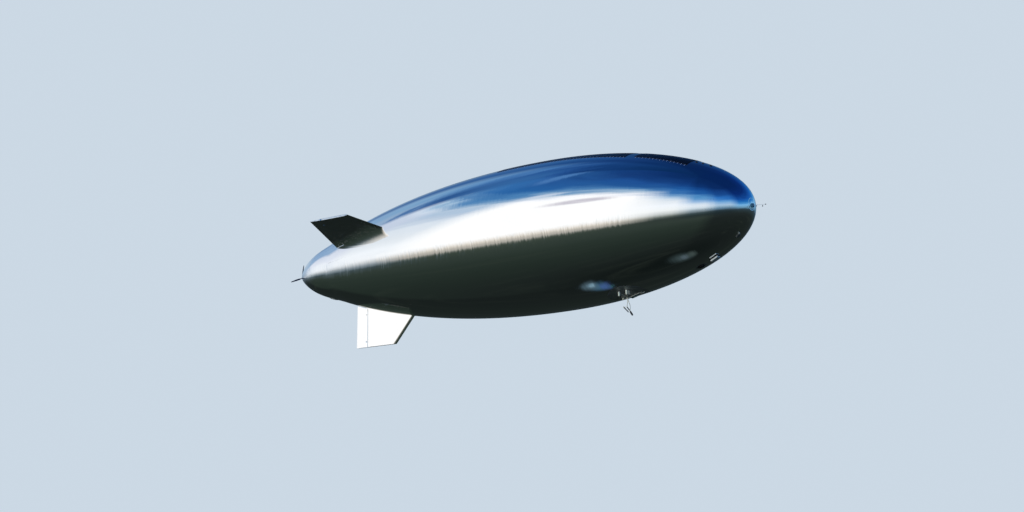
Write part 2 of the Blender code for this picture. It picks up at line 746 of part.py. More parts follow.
def build_legs():
    """Two legs under the frame's apex, with sleeves that hold the dark bars."""
    top = APEX - UP * (APEX_HALF + SEAT)
    neck = top - UP * LEG_NECK_DROP / 2
    (_, aft_start, aft_end), (_, fore_start, fore_end) = BARS
    aft_along = (aft_end - aft_start).normalized()
    fore_along = (fore_end - fore_start).normalized()
    aft_sleeve = aft_start + aft_along * SLEEVE_LENGTH / 2
    fore_sleeve = fore_start + fore_along * SLEEVE_LENGTH / 2
    low_sleeve = fore_end - fore_along * LOW_SLEEVE_UP
    half = fore_along * SLEEVE_LENGTH / 2
    legs = joined("gondola_legs", "white_tube", [
        cylinder(top, top - UP * LEG_NECK_DROP, LEG_NECK_R, 12),
        cylinder(aft_start - aft_along * SLEEVE_PROUD, aft_start + aft_along * SLEEVE_LENGTH, SLEEVE_R),
        cylinder(fore_start - fore_along * SLEEVE_PROUD, fore_start + fore_along * SLEEVE_LENGTH, SLEEVE_R),
        cylinder(low_sleeve - half, low_sleeve + half, SLEEVE_R),
        cylinder(neck, fore_sleeve, LEG_R, 10),
        cylinder(neck, LEG_KNEE, LEG_R, 10),
        capsule(LEG_KNEE + UP * KNEE_HALF, LEG_KNEE - UP * KNEE_HALF, KNEE_R, 10),
        cylinder(LEG_KNEE, low_sleeve, LEG_R, 10),
        cylinder(aft_sleeve, fore_sleeve, BRACE_R, 10),
    ])
    foot = make("skid_foot", capsule(*FOOT_ENDS, FOOT_R, 16), "grey_foot", smooth=True)
    room = (BAR_R + SEAT) / math.cos(math.pi / BAR_SIDES)
    for name, start, end in BARS:
        make(name, cylinder(start, end, BAR_R, BAR_SIDES), "dark_carbon", smooth=True)
        along = (end - start).normalized() * SEAT
        tool = make("cut_" + name, cylinder(start - along, end + along, room, BAR_SIDES))
        cut(legs, tool)
        if name == "skid_bar_fore":
            cut(foot, tool)


def belly_axes(x, y):
    """A place on the belly, the way forward along the skin and the way out of it."""
    tilt = math.atan2(*hull_normal(x))
    forward = Vector((math.cos(tilt), 0.0, math.sin(tilt)))
    out = Vector((math.sin(tilt), 0.0, -math.cos(tilt)))
    return Vector((x, y, hull_under(x, y))), forward, out


def belly_block(x, y, length, width, low, high):
    """A block in line with the skin; low and high are its heights out of it."""
    place, forward, out = belly_axes(x, y)
    corners = ((-0.5, low), (0.5, low), (0.5, high), (-0.5, high))
    return skinned([
        [place + forward * (length * end) + PORT * (width * side) + out * h for side, h in corners]
        for end in (-0.5, 0.5)
    ])


def build_belly(hull):
    box = belly_block(*BOX_PLACE, BOX_LENGTH, BOX_WIDTH, SUNK, BOX_HEIGHT)
    cut(make("belly_box", box, "pale_housing"), hull)

    place, _, out = belly_axes(*VALVE_PLACE)
    valve = cylinder(place + out * SUNK, place + out * VALVE_HEIGHT, VALVE_R, 24)
    cut(make("belly_valve", valve, "valve_rubber"), hull)

    cut(joined("nose_eye", "pale_housing", [
        belly_block(*EYE_PLACE, EYE_SIZE, EYE_SIZE, SUNK, EYE_HEIGHT),
        belly_block(*WINDOW_PLACE, WINDOW_SIZE, WINDOW_SIZE, SUNK / 2, WINDOW_HEIGHT),
    ]), hull)

    vent = belly_block(*VENT_PLACE, VENT_LENGTH, VENT_WIDTH, SUNK, VENT_HEIGHT)
    cut(make("tail_vent", vent, "dark_fitting"), hull)


def main():
    clear_scene()
    hull = hull_cutter()
    build_hull()
    build_nose()
    build_stern()
    for fin in FINS:
        build_fin(*fin, hull)
    for array in ARRAYS:
        build_array(*array)
    build_gondola(hull)
    build_legs()
    build_belly(hull)


main()
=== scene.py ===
"""Looks of the 1:2 solar airship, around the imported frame. Metres; +X to the nose, +Z up."""

import math
from functools import partialmethod

import bpy
import numpy as np
from mathutils import Matrix, Vector


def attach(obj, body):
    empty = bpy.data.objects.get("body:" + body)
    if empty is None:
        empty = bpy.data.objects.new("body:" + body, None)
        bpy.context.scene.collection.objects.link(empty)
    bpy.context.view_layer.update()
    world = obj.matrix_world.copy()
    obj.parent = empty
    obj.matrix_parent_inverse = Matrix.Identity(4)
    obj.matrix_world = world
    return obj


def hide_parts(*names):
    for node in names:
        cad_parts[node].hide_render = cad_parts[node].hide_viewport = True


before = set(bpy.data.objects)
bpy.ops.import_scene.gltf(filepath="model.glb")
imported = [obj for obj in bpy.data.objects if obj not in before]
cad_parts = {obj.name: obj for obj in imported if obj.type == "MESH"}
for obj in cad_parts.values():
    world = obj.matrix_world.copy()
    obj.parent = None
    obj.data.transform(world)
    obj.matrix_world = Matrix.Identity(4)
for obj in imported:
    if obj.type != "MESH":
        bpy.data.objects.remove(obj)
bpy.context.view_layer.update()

# Hull outline, as in the source
HULL_RADIUS = 4.6
NOSE_X = 16.25
TAIL_X = -16.25
WIDEST_X = 3.12
AFT_POWER = 2.12
AFT_ROOT = 0.751
STERN_FULLNESS = 0.165
STERN_FULL_X = -16.15
STERN_REACH = 3.2
FULLNESS_SCALE = 6.75
NOSE_OPENING_R = 0.35
TAIL_OPENING_X = -15.98
AROUND = 192
AFT_RINGS = 300
FORE_RINGS = 190
GORES = 24
GORE_DEPTH = 0.0016
PUCKER = 0.00035
PUCKER_WAVES = 26
# The taut film puckers along the horizon's image: sine of how far that lies below level, half width
LEVEL_SHARE = 0.148
TICK_WIDTH = 0.24

# The photograph's camera, in the part's frame
CAMERA_PLACE = (190.323, -305.287, -60.013)
CAMERA_RIGHT = (0.84085, 0.53794, -0.05994)
CAMERA_UP = (0.13746, -0.10512, 0.98491)
CAMERA_AHEAD = (-0.52352, 0.8364, 0.16234)
CAMERA_LENS = 210.9375
# True up where the ship flew nose high and banked, and two level axes: away from the camera, right
SKY_UP = (0.11489, -0.06916, 0.99097)
SKY_AWAY = (-0.5289, 0.8401, 0.12)
SKY_RIGHT = (0.8408, 0.5379, -0.0599)
FLOOR_Z = -60.3
FLOOR_HALF = 900.0
BACKDROP = (0.60, 0.69, 0.78)
FLOOR_GLOW = (0.467, 0.502, 0.438)
FILL_FROM = (-0.17, -0.98, 0.06)
FILL_POWER = 1.8

AXES = X, Y, Z = Vector((1, 0, 0)), Vector((0, 1, 0)), Vector((0, 0, 1))
ORIGIN = Vector((0, 0, 0))
LOOKS = {}
rng = np.random.default_rng(11)


def srgb(*channels):
    """Linear colour of a display colour given as 0 to 255."""
    shares = [value / 255.0 for value in channels]
    return tuple(c / 12.92 if c <= 0.04045 else ((c + 0.055) / 1.055) ** 2.4 for c in shares)


def mm(*values, at=0.0):
    """Profile for a lathe from distances and radii in millimetres; at is where the distances start."""
    return [(at + d / 1000, r / 1000) for d, r in zip(values[::2], values[1::2])]


class Nodes:
    """Short calls for making a node tree."""

    def __init__(self, tree):
        self.tree = tree

    def put(self, value, socket):
        if isinstance(value, bpy.types.NodeSocket):
            self.tree.links.new(value, socket)
        elif value is not None:
            socket.default_value = (*value, 1.0) if socket.type == "RGBA" else value

    def add(self, kind, *values, out=0, named=None, **settings):
        """New node, its inputs filled in order and by name; gives one output, or all where out is None."""
        node = self.tree.nodes.new(kind)
        for key, value in settings.items():
            setattr(node, key, value)
        for value, socket in zip(values, node.inputs):
            self.put(value, socket)
        for key, value in (named or {}).items():
            self.put(value, node.inputs[key])
        return node.outputs if out is None else node.outputs[out]

    def math(self, operation, *values):
        return self.add("ShaderNodeMath", *values, operation=operation)

    times = partialmethod(math, "MULTIPLY")
    plus = partialmethod(math, "ADD")
    less = partialmethod(math, "SUBTRACT")
    over = partialmethod(math, "DIVIDE")

    def vector(self, operation, *values, out="Value"):
        return self.add("ShaderNodeVectorMath", *values, operation=operation, out=out)

    def split(self, vector):
        return self.add("ShaderNodeSeparateXYZ", vector, out=None)

    def join(self, x, y, z):
        return self.add("ShaderNodeCombineXYZ", x, y, z)

    def noise(self, vector, scale, detail=3.0, rough=0.5, warp=0.0):
        named = {"Vector": vector, "Scale": scale, "Detail": detail, "Roughness": rough, "Distortion": warp}
        return self.add("ShaderNodeTexNoise", named=named, out="Fac")

    def odd(self, x, y):
        """A value of its own for each pair of whole numbers."""
        return self.add("ShaderNodeTexWhiteNoise", self.join(x, y, 0.0), noise_dimensions="3D", out="Value")

    def step(self, value, low, high, to_low=0.0, to_high=1.0, kind="SMOOTHSTEP"):
        return self.add("ShaderNodeMapRange", value, low, high, to_low, to_high, interpolation_type=kind)

    def mix(self, share, a, b):
        return self.add("ShaderNodeMix", share, *[None] * 5, a, b, out=2, data_type="RGBA")

    def ramp(self, value, stops):
        shown = self.add("ShaderNodeValToRGB", value)
        band = shown.node.color_ramp
        while len(band.elements) < len(stops):
            band.elements.new(0.5)
        for element, (place, colour) in zip(band.elements, stops):
            element.position = place
            element.color = (*colour, 1.0)
        return shown

    def bump(self, height, strength, distance):
        named = {"Strength": strength, "Distance": distance, "Height": height}
        return self.add("ShaderNodeBump", named=named)


def material(name, build, **sockets):
    """A Principled material: build(n, place) gives what is linked, sockets are constants."""
    made = bpy.data.materials.new(name)
    made.use_nodes = True
    n = Nodes(made.node_tree)
    inputs = made.node_tree.nodes["Principled BSDF"].inputs
    linked = build(n, n.add("ShaderNodeTexCoord", out="Object"))
    for key, value in {**sockets, **linked}.items():
        n.put(value, inputs[key.replace("_", " ")])
    return made


def stand(name, data):
    made = bpy.data.objects.new(name, data)
    bpy.context.scene.collection.objects.link(made)
    return made


# The sky's sides are counted from a direction 105 degrees to the left of the way the camera looks
DEGREES = 180.0 / math.pi
LEFT_TURN = 180.0 + 105.0
# Clouds, their wisps and strips on the ground: how flat they are, then the noise's scale, detail, roughness
# and distortion
CLOUDS = (3.2, 1.9, 4.0, 0.52, 0.35)
WISPS = (6.5, 3.4, 5.0, 0.6, 0.6)
STRIPS = (9.0, 2.0, 5.0, 0.6, 0.5)
# How far the clouds and their wisps shift the sky's colours, and the heights over which they come in
CLOUD_SHIFT = 14.0
WISP_SHIFT = 9.0
CLOUDS_FROM = 12.0
CLOUDS_FULL = 34.0
# Colours with all channels above this are brightened by this gain
WHITE_FROM = 236
WHITE_GAIN = 1.12
# Sky and ground that the film mirrors, one list for each side: height above the horizon, display colour
GROUND = (
    (-90, 16, 22, 21), (-75, 21, 27, 26), (-60, 29, 36, 34), (-40, 36, 46, 41), (-25, 43, 54, 48),
    (-15, 52, 63, 57),
)
DARK_GROUND = (
    (-90, 16, 22, 21), (-75, 20, 26, 25), (-60, 25, 31, 30), (-40, 28, 35, 33), (-25, 30, 37, 36),
    (-15, 35, 43, 43),
)
SKIES = {
    "left": GROUND + (
        (-10, 60, 71, 63), (-8.5, 80, 88, 81), (-7, 138, 139, 131), (-5.5, 182, 177, 168),
        (-4, 190, 185, 175), (-1.5, 226, 219, 207), (1.5, 244, 241, 237), (4, 255, 255, 255),
        (36, 255, 255, 255), (39.5, 244, 246, 252), (42, 212, 224, 239), (44.5, 168, 196, 221),
        (47, 118, 160, 201), (49.5, 74, 128, 183), (55, 37, 91, 157), (61, 33, 84, 154), (67, 24, 66, 130),
        (78, 15, 50, 108), (90, 10, 42, 92),
    ),
    "mid": GROUND + (
        (-10, 66, 80, 84), (-8.4, 104, 118, 125), (-6.5, 128, 140, 147), (-4.5, 164, 173, 179),
        (-2, 204, 210, 214), (3, 239, 243, 247), (12, 240, 245, 250), (21, 236, 243, 250),
        (30, 226, 236, 247), (35, 194, 211, 231), (37.5, 182, 205, 229), (40, 190, 210, 231),
        (42, 140, 176, 211), (45.5, 80, 136, 190), (50, 42, 102, 168), (56, 40, 92, 158), (67, 25, 65, 127),
        (78, 16, 51, 110), (90, 10, 42, 92),
    ),
    "far_left": GROUND + (
        (-9, 100, 114, 120), (-6.5, 160, 172, 180), (-4, 186, 195, 202), (-1.5, 212, 221, 229),
        (3, 232, 240, 250), (14, 234, 240, 252), (30, 208, 218, 236), (36, 204, 216, 236),
        (41, 214, 228, 245), (44, 162, 196, 226), (46.5, 88, 138, 190), (49.5, 52, 112, 177),
        (55, 52, 102, 167), (60, 40, 90, 152), (66, 24, 66, 128), (78, 16, 51, 110), (90, 10, 42, 94),
    ),
    "far": DARK_GROUND + (
        (-7, 88, 102, 110), (-4, 180, 190, 200), (0, 170, 186, 202), (5, 170, 190, 212), (16, 160, 188, 216),
        (26, 142, 174, 210), (34, 152, 180, 211), (36.3, 150, 178, 209), (37.8, 84, 124, 176),
        (41.5, 44, 88, 147), (45, 54, 100, 158), (49, 54, 106, 166), (55, 38, 84, 150), (61, 22, 62, 120),
        (74, 12, 48, 98), (90, 10, 42, 94),
    ),
    "ledge": DARK_GROUND + (
        (-7, 56, 68, 72), (-3, 130, 144, 158), (5, 166, 190, 214), (15, 180, 200, 220), (22, 140, 172, 208),
        (34, 128, 170, 208), (38.8, 98, 146, 197), (44, 70, 120, 180), (47.5, 42, 90, 156), (61, 22, 62, 120),
        (74, 12, 48, 98), (90, 10, 42, 94),
    ),
    "edge": DARK_GROUND + (
        (-6, 52, 62, 64), (0, 110, 130, 150), (8, 186, 210, 231), (12, 158, 186, 213), (15, 122, 152, 188),
        (19, 101, 132, 171), (22, 72, 110, 162), (30, 48, 95, 154), (38, 34, 78, 138), (47, 24, 61, 119),
        (60, 15, 50, 104), (90, 10, 42, 92),
    ),
    "near": GROUND + (
        (-8, 52, 62, 58), (-5, 80, 90, 86), (-3, 116, 124, 118), (2, 204, 210, 208), (6, 232, 236, 236),
        (9, 238, 242, 242), (17, 241, 246, 252), (28, 234, 242, 250), (32, 198, 220, 242),
        (38.8, 122, 168, 212), (45, 66, 124, 187), (50, 38, 100, 172), (59, 25, 74, 143), (70, 18, 56, 118),
        (90, 10, 42, 94),
    ),
    "turn": GROUND + (
        (-9, 42, 54, 54), (-4, 62, 78, 82), (2.7, 152, 168, 178), (8, 216, 230, 240), (13, 232, 242, 252),
        (17, 218, 233, 248), (22, 164, 198, 235), (30, 102, 160, 212), (37, 84, 148, 204), (45, 36, 96, 167),
        (53, 23, 75, 146), (62, 15, 53, 114), (74, 12, 44, 98), (90, 10, 42, 94),
    ),
    "right": DARK_GROUND + (
        (-8, 34, 46, 50), (-3, 46, 62, 70), (3, 104, 138, 164), (8, 150, 182, 206), (12.5, 174, 204, 232),
        (21, 110, 168, 222), (27, 62, 128, 202), (33, 44, 112, 192), (42, 28, 78, 148), (51, 23, 66, 134),
        (62, 12, 44, 100), (90, 10, 40, 92),
    ),
    "back": DARK_GROUND + (
        (-8, 42, 56, 60), (-3, 50, 68, 80), (3, 112, 160, 192), (9.6, 126, 188, 236), (14, 76, 148, 210),
        (19.5, 36, 112, 190), (26, 26, 88, 172), (32, 20, 72, 150), (46, 11, 44, 112), (62, 8, 37, 92),
        (90, 8, 38, 90),
    ),
    "behind": DARK_GROUND + (
        (-6, 44, 54, 56), (0, 66, 88, 108), (8, 72, 102, 134), (16, 58, 90, 126), (22, 34, 70, 116),
        (31, 22, 54, 100), (45, 14, 42, 88), (62, 9, 38, 88), (90, 10, 42, 92),
    ),
}
# Where the sky changes from one list to the next, in degrees towards the right
SKY_TURNS = (
    ("near", -30, -46), ("turn", -52, -63), ("right", -72, -86), ("back", -106, -128), ("mid", 8, 17),
    ("far_left", 32, 42), ("far", 50, 58), ("ledge", 65, 75), ("edge", 82, 91), ("behind", 97, 105),
    ("back", 108, 135),
)
GROUND_STRIP = (58, 66, 58)
# Cloud patches: side, height, half width, half height, rise for each degree of side, colour, strength
PATCHES = (
    (7.0, 44.0, 7.5, 3.2, -0.30, (208, 221, 240), 0.85),
    (-13.5, 34.8, 13.0, 4.2, -0.22, (206, 202, 214), 0.95),
    (45.0, 56.5, 15.0, 3.4, 0.30, (84, 134, 194), 0.75),
    (80.0, 50.0, 8.0, 2.6, 0.20, (70, 116, 172), 0.35),
)
# Pale spots on the ground: direction, the vectors that measure its two half widths, colour
GLINTS = (
    ((-0.4012, 0.2674, -0.8761), (40.105, 11.080, -15.767), (-13.544, 1.625, 7.008), (62, 98, 122)),
    ((-0.4154, 0.1879, -0.8900), (34.754, 7.963, -14.946), (-12.108, 3.031, 6.480), (82, 104, 116)),
    ((-0.3869, 0.3080, -0.8692), (49.945, 14.751, -17.764), (-25.875, -1.228, 11.513), (66, 94, 146)),
    ((-0.4081, 0.1822, -0.8946), (89.219, 19.823, -36.985), (-24.806, 6.173, 12.677), (132, 166, 184)),
    ((-0.3785, 0.3577, -0.8537), (132.271, 41.529, -42.055), (-39.337, -0.289, 17.580), (52, 90, 98)),
    ((-0.0514, 0.1642, -0.9851), (11.994, 3.376, 0.216), (-7.207, 3.312, 0.827), (58, 72, 74)),
    ((-0.0431, 0.1877, -0.9813), (32.549, 9.479, 0.438), (-12.340, 5.504, 1.596), (80, 94, 102)),
    ((0.0067, 0.1931, -0.9812), (25.860, 8.164, 1.837), (-11.285, 3.616, 0.643), (64, 76, 74)),
)
# How far the film is turned in at both ends, and along the hull there; seam tapes
FILM_HEM = 0.012
HEM_STEP = 0.01
SEAM_HALF = 0.030
SEAM_EDGES = ((-1.0, 0.0006), (0.0, 0.0008), (1.0, 0.0006))
SEAM_FULL_RADIUS = 1.6


def build_world():
    world = bpy.data.worlds.new("sky")
    bpy.context.scene.world = world
    world.use_nodes = True
    world.node_tree.nodes.clear()
    n = Nodes(world.node_tree)
    ray = n.add("ShaderNodeTexCoord", out="Generated")
    up, away, right = (n.vector("DOT_PRODUCT", ray, axis) for axis in (SKY_UP, SKY_AWAY, SKY_RIGHT))
    height = n.times(n.math("ARCSINE", up), DEGREES)
    turn = n.times(n.math("ARCTAN2", right, away), DEGREES)
    side = n.less(n.math("FLOORED_MODULO", n.plus(turn, LEFT_TURN), 360.0), 180.0)

    def streaks(flat, *settings):
        """Noise over the directions, drawn out level."""
        return n.noise(n.join(away, right, n.times(up, flat)), *settings)

    clouds = streaks(*CLOUDS)
    wisps = streaks(*WISPS)
    reach = n.step(height, CLOUDS_FROM, CLOUDS_FULL)
    shift = n.times(n.less(clouds, 0.5), n.times(reach, CLOUD_SHIFT))
    fine = n.times(n.less(wisps, 0.5), n.times(reach, WISP_SHIFT))
    place = n.over(n.plus(n.plus(n.plus(height, shift), fine), 90.0), 180.0)

    def sky(name):
        stops = []
        for angle, *tint in SKIES[name]:
            gain = WHITE_GAIN if min(tint) > WHITE_FROM else 1.0
            stops.append(((angle + 90) / 180.0, [c * gain for c in srgb(*tint)]))
        return n.ramp(place, stops)

    colour = sky("left")
    made = {}
    for name, start, end in SKY_TURNS:
        made[name] = made.get(name) or sky(name)
        colour = n.mix(n.step(side, start, end, kind="LINEAR"), colour, made[name])
    strips = n.step(streaks(*STRIPS), 0.50, 0.80, 0.0, 0.26)
    colour = n.mix(n.times(n.step(height, -7.0, -11.0), strips), colour, srgb(*GROUND_STRIP))
    for turned, level_at, wide, tall, lean, tint, strength in PATCHES:
        across = n.less(side, turned)
        rise = n.less(height, n.math("MULTIPLY_ADD", across, lean, level_at))
        spread = n.vector("LENGTH", n.join(n.over(across, wide), n.over(rise, tall), 0.0))
        amount = n.times(n.step(spread, 1.0, 0.3), n.step(wisps, 0.25, 0.6, 0.5, 1.0))
        colour = n.mix(n.times(amount, strength), colour, srgb(*tint))
    for centre, wide, tall, tint in GLINTS:
        off = n.vector("SUBTRACT", ray, centre, out="Vector")
        spread = n.join(n.vector("DOT_PRODUCT", off, wide), n.vector("DOT_PRODUCT", off, tall), 0.0)
        near = n.times(n.step(n.vector("LENGTH", spread), 1.3, 0.1), n.step(height, -20.0, -30.0))
        colour = n.mix(n.times(near, n.step(wisps, 0.20, 0.62, 0.7, 1.0)), colour, srgb(*tint))
    shown = n.mix(n.add("ShaderNodeLightPath", out="Is Camera Ray"), colour, BACKDROP)
    surface = world.node_tree.nodes.new("ShaderNodeOutputWorld").inputs["Surface"]
    n.put(n.add("ShaderNodeBackground", shown), surface)


def build_camera():
    camera = stand("camera", bpy.data.cameras.new("camera"))
    axes = (CAMERA_RIGHT, CAMERA_UP, [-value for value in CAMERA_AHEAD])
    turn = Matrix([[axis[row] for axis in axes] for row in range(3)]).to_4x4()
    camera.matrix_world = Matrix.Translation(CAMERA_PLACE) @ turn
    camera.data.sensor_width = 36.0
    camera.data.lens = CAMERA_LENS
    camera.data.clip_start = 1.0
    camera.data.clip_end = 5000.0
    bpy.context.scene.camera = camera


def build_fill():
    """Soft low light from the open side; the film doesn't mirror it."""
    lamp = stand("fill", bpy.data.lights.new("fill", "SUN"))
    lamp.data.energy = FILL_POWER
    lamp.data.angle = 0.5
    lamp.data.color = (0.97, 1.0, 0.95)
    toward = Vector(FILL_FROM).normalized()
    lamp.matrix_world = toward.to_track_quat("Z", "Y").to_matrix().to_4x4()
    lamp.visible_glossy = False


def build_floor():
    """Pale floor that glows enough to look like the backdrop, and doesn't light the ship."""
    def build(n, place):
        grain = n.step(n.noise(place, 0.35, 4.0), 0.3, 0.7, 0.0, 0.06)
        return {"Base Color": n.mix(grain, BACKDROP, FLOOR_GLOW)}

    finish = material("pale_floor", build, Roughness=0.9, Emission_Color=FLOOR_GLOW, Emission_Strength=1.0)
    finish.cycles.emission_sampling = "NONE"
    mesh = bpy.data.meshes.new("floor")
    corners = ((-1, -1), (1, -1), (1, 1), (-1, 1))
    mesh.from_pydata([(x * FLOOR_HALF, y * FLOOR_HALF, FLOOR_Z) for x, y in corners], [], [(0, 1, 2, 3)])
    mesh.materials.append(finish)
    floor = stand("floor", mesh)
    floor.visible_glossy = False
    floor.visible_diffuse = False


def circle(centre, side, other, radius, count, start=0.0):
    """Points round a centre, from side towards other."""
    turns = [2 * math.pi * (i + start) / count for i in range(count)]
    return [centre + side * (radius * math.cos(t)) + other * (radius * math.sin(t)) for t in turns]


def soften(mesh, degrees):
    """Crisp shading at edges sharper than this, smooth elsewhere."""
    normals = np.empty(len(mesh.polygons) * 3)
    mesh.polygons.foreach_get("normal", normals)
    normals = normals.reshape(-1, 3)
    sides = {}
    for polygon in mesh.polygons:
        for key in polygon.edge_keys:
            sides.setdefault(key, []).append(polygon.index)
    limit = math.cos(math.radians(degrees))
    for edge in mesh.edges:
        near = sides.get(edge.key, [])
        if len(near) == 2 and float(normals[near[0]] @ normals[near[1]]) < limit:
            edge.use_edge_sharp = True


class Shape:
    """Vertices and faces of one piece, gathered from several parts."""

    def __init__(self):
        self.verts = []
        self.faces = []

    def grid(self, rows, wrap=False, close=False, flip=False):
        """Skin over rows of equally many points; close fills the first and the last row."""
        start = len(self.verts)
        count = len(rows[0])
        for row in rows:
            self.verts.extend(row)
        for r in range(len(rows) - 1):
            a = start + r * count
            for i in range(count if wrap else count - 1):
                j = (i + 1) % count
                quad = (a + i, a + j, a + count + j, a + count + i)
                self.faces.append(quad[::-1] if flip else quad)
        if close:
            for first, turned in ((start, True), (start + (len(rows) - 1) * count, False)):
                ring = tuple(range(first, first + count))
                self.faces.append(ring[::-1] if turned != flip else ring)

    def lathe(self, start, along, profile, sides=32, side=None, close=True, flip=False):
        """Turned shape: profile holds (distance along, radius)."""
        start, along = Vector(start), Vector(along).normalized()
        if side is None:
            side = along.orthogonal().normalized()
        rows = [circle(start + along * d, side, along.cross(side), r, sides) for d, r in profile]
        self.grid(rows, wrap=True, close=close, flip=flip)

    def tube(self, start, end, radius, sides, rounded=0.0):
        """Rod between two points; rounded eases its ends by that much."""
        along = end - start
        profile = [(0.0, radius)]
        if rounded:
            few = rounded * 0.3
            profile = [(0.0, radius - rounded), (few, radius - few), (rounded, radius)]
        profile += [(along.length - d, r) for d, r in profile[::-1]]
        self.lathe(start, along, profile, sides)

    def bolts(self, centre, along, side, count, radius, profile, sides=6, start=0.0):
        """Ring of bolt heads."""
        for spot in circle(centre, side, along.cross(side), radius, count, start):
            self.lathe(spot, along, profile, sides)

    def corners(self, centre, side, other, along, profile, sides):
        """Four screw heads."""
        for a, b in ((-1, -1), (-1, 1), (1, -1), (1, 1)):
            self.lathe(centre + side * a + other * b, along, profile, sides)

    def box(self, centre, axes, size, ease):
        """Block on three axes; ease is the width of its bevelled edges."""
        centre = Vector(centre)
        long, wide, tall = (value / 2 for value in size)
        rows = []
        for z, inset in ((-tall, ease), (ease - tall, 0.0), (tall - ease, 0.0), (tall, ease)):
            x, y = long - inset, wide - inset
            outline = (
                (x - ease, -y), (x, ease - y), (x, y - ease), (x - ease, y),
                (ease - x, y), (-x, y - ease), (-x, ease - y), (ease - x, -y),
            )
            rows.append([centre + axes[0] * a + axes[1] * b + axes[2] * z for a, b in outline])
        self.grid(rows, wrap=True, close=True)

    def done(self, name, look, slot=None, body="hull", replaces=None, smooth=True, crease=35.0):
        mesh = bpy.data.meshes.new(name)
        mesh.from_pydata([tuple(v) for v in self.verts], [], self.faces)
        mesh.materials.append(LOOKS[look])
        mesh.polygons.foreach_set("use_smooth", [smooth] * len(mesh.polygons))
        mesh.update()
        made = stand(name, mesh)
        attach(made, body)
        if replaces:
            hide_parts(replaces)
        if crease:
            soften(mesh, crease)


def hull_radius(x):
    if x >= WIDEST_X:
        share = min((x - WIDEST_X) / (NOSE_X - WIDEST_X), 1.0)
        return HULL_RADIUS * math.sqrt(1.0 - share * share)
    share = min((WIDEST_X - x) / (WIDEST_X - TAIL_X), 1.0)
    reach = min(max((x - STERN_FULL_X) / STERN_REACH, 0.0), 1.0)
    fuller = STERN_FULLNESS * FULLNESS_SCALE * reach * (1.0 - reach) ** 2
    return HULL_RADIUS * (1.0 - share**AFT_POWER) ** AFT_ROOT + fuller


def hull_normal(x):
    """Outward normal of the outline at x, as (along X, outward)."""
    low = max(x - 1e-4, TAIL_X + 1e-6)
    high = min(x + 1e-4, NOSE_X - 1e-6)
    slope = (hull_radius(high) - hull_radius(low)) / (high - low)
    size = math.hypot(1.0, slope)
    return -slope / size, 1.0 / size


def on_hull(x, angle, out=0.0):
    """Point over the hull's skin; angle is from port towards the top."""
    along, outward = hull_normal(x)
    radius = hull_radius(x) + outward * out
    return Vector((x + along * out, radius * math.cos(angle), radius * math.sin(angle)))


def plan_angle(x, y, under=False):
    """Angle about the axis where the crest, or the belly, has this y."""
    angle = math.acos(max(-1.0, min(1.0, y / hull_radius(x))))
    return -angle if under else angle


def hull_stations():
    start = math.acos((WIDEST_X - TAIL_OPENING_X) / (WIDEST_X - TAIL_X))
    turns = [start + (math.pi / 2 - start) * i / AFT_RINGS for i in range(AFT_RINGS)]
    aft = [WIDEST_X - (WIDEST_X - TAIL_X) * math.cos(turn) for turn in turns]
    end = math.acos(NOSE_OPENING_R / HULL_RADIUS)
    fore = [WIDEST_X + (NOSE_X - WIDEST_X) * math.sin(end * i / FORE_RINGS) for i in range(FORE_RINGS + 1)]
    return aft + fore


def build_hull():
    """Film gores between lengthwise seams, with the fine girthwise puckers of taut film."""
    xs = np.array(hull_stations())
    turns = 2 * math.pi * np.arange(AROUND) / AROUND
    radius = np.array([hull_radius(x) for x in xs])
    normal = np.array([hull_normal(x) for x in xs])
    share = radius / HULL_RADIUS
    across = (turns * GORES / (2 * math.pi)) % 1.0 * 2 - 1
    pucker = np.zeros((len(xs), AROUND))
    for _ in range(PUCKER_WAVES):
        wave = rng.uniform(9.0, 26.0)
        around = rng.integers(-7, 8)
        phase = rng.uniform(0, 2 * math.pi)
        slow = 0.6 + 0.4 * np.sin(xs * rng.uniform(0.3, 1.1) + rng.uniform(0, 6.28))
        sway = np.sin(xs[:, None] * wave + turns[None, :] * around + phase)
        pucker += slow[:, None] * sway / math.sqrt(PUCKER_WAVES)
    ends = np.clip((share - 0.12) / 0.3, 0.0, 1.0)
    seam = 0.35 + 0.65 * across**2
    height = PUCKER * pucker * ends[:, None] * seam - GORE_DEPTH * share[:, None] * across**2
    reach = radius[:, None] + normal[:, 1:] * height
    shift = xs[:, None] + normal[:, :1] * height
    rows = [list(zip(s, r * np.cos(turns), r * np.sin(turns))) for s, r in zip(shift, reach)]
    turned_in = ((0, HEM_STEP), (-1, -HEM_STEP))
    hems = [circle(X * (xs[i] + step), Y, Z, radius[i] - FILM_HEM, AROUND) for i, step in turned_in]
    shape = Shape()
    shape.grid([hems[0], *rows, hems[1]], wrap=True, close=True, flip=True)
    shape.done("hull_film", "mirror_film", replaces="envelope", crease=None)

    tapes = Shape()
    for gore in range(GORES):
        angle = 2 * math.pi * (gore + 0.5) / GORES
        rows = []
        for x in xs[2:-2:3]:
            half = SEAM_HALF / hull_radius(x) * min(1.0, hull_radius(x) / SEAM_FULL_RADIUS)
            base = -GORE_DEPTH * hull_radius(x) / HULL_RADIUS
            rows.append([on_hull(x, angle + turn * half, base + lift) for turn, lift in SEAM_EDGES])
        tapes.grid(rows, flip=True)
    tapes.done("seam_tapes", "mirror_film", crease=None)


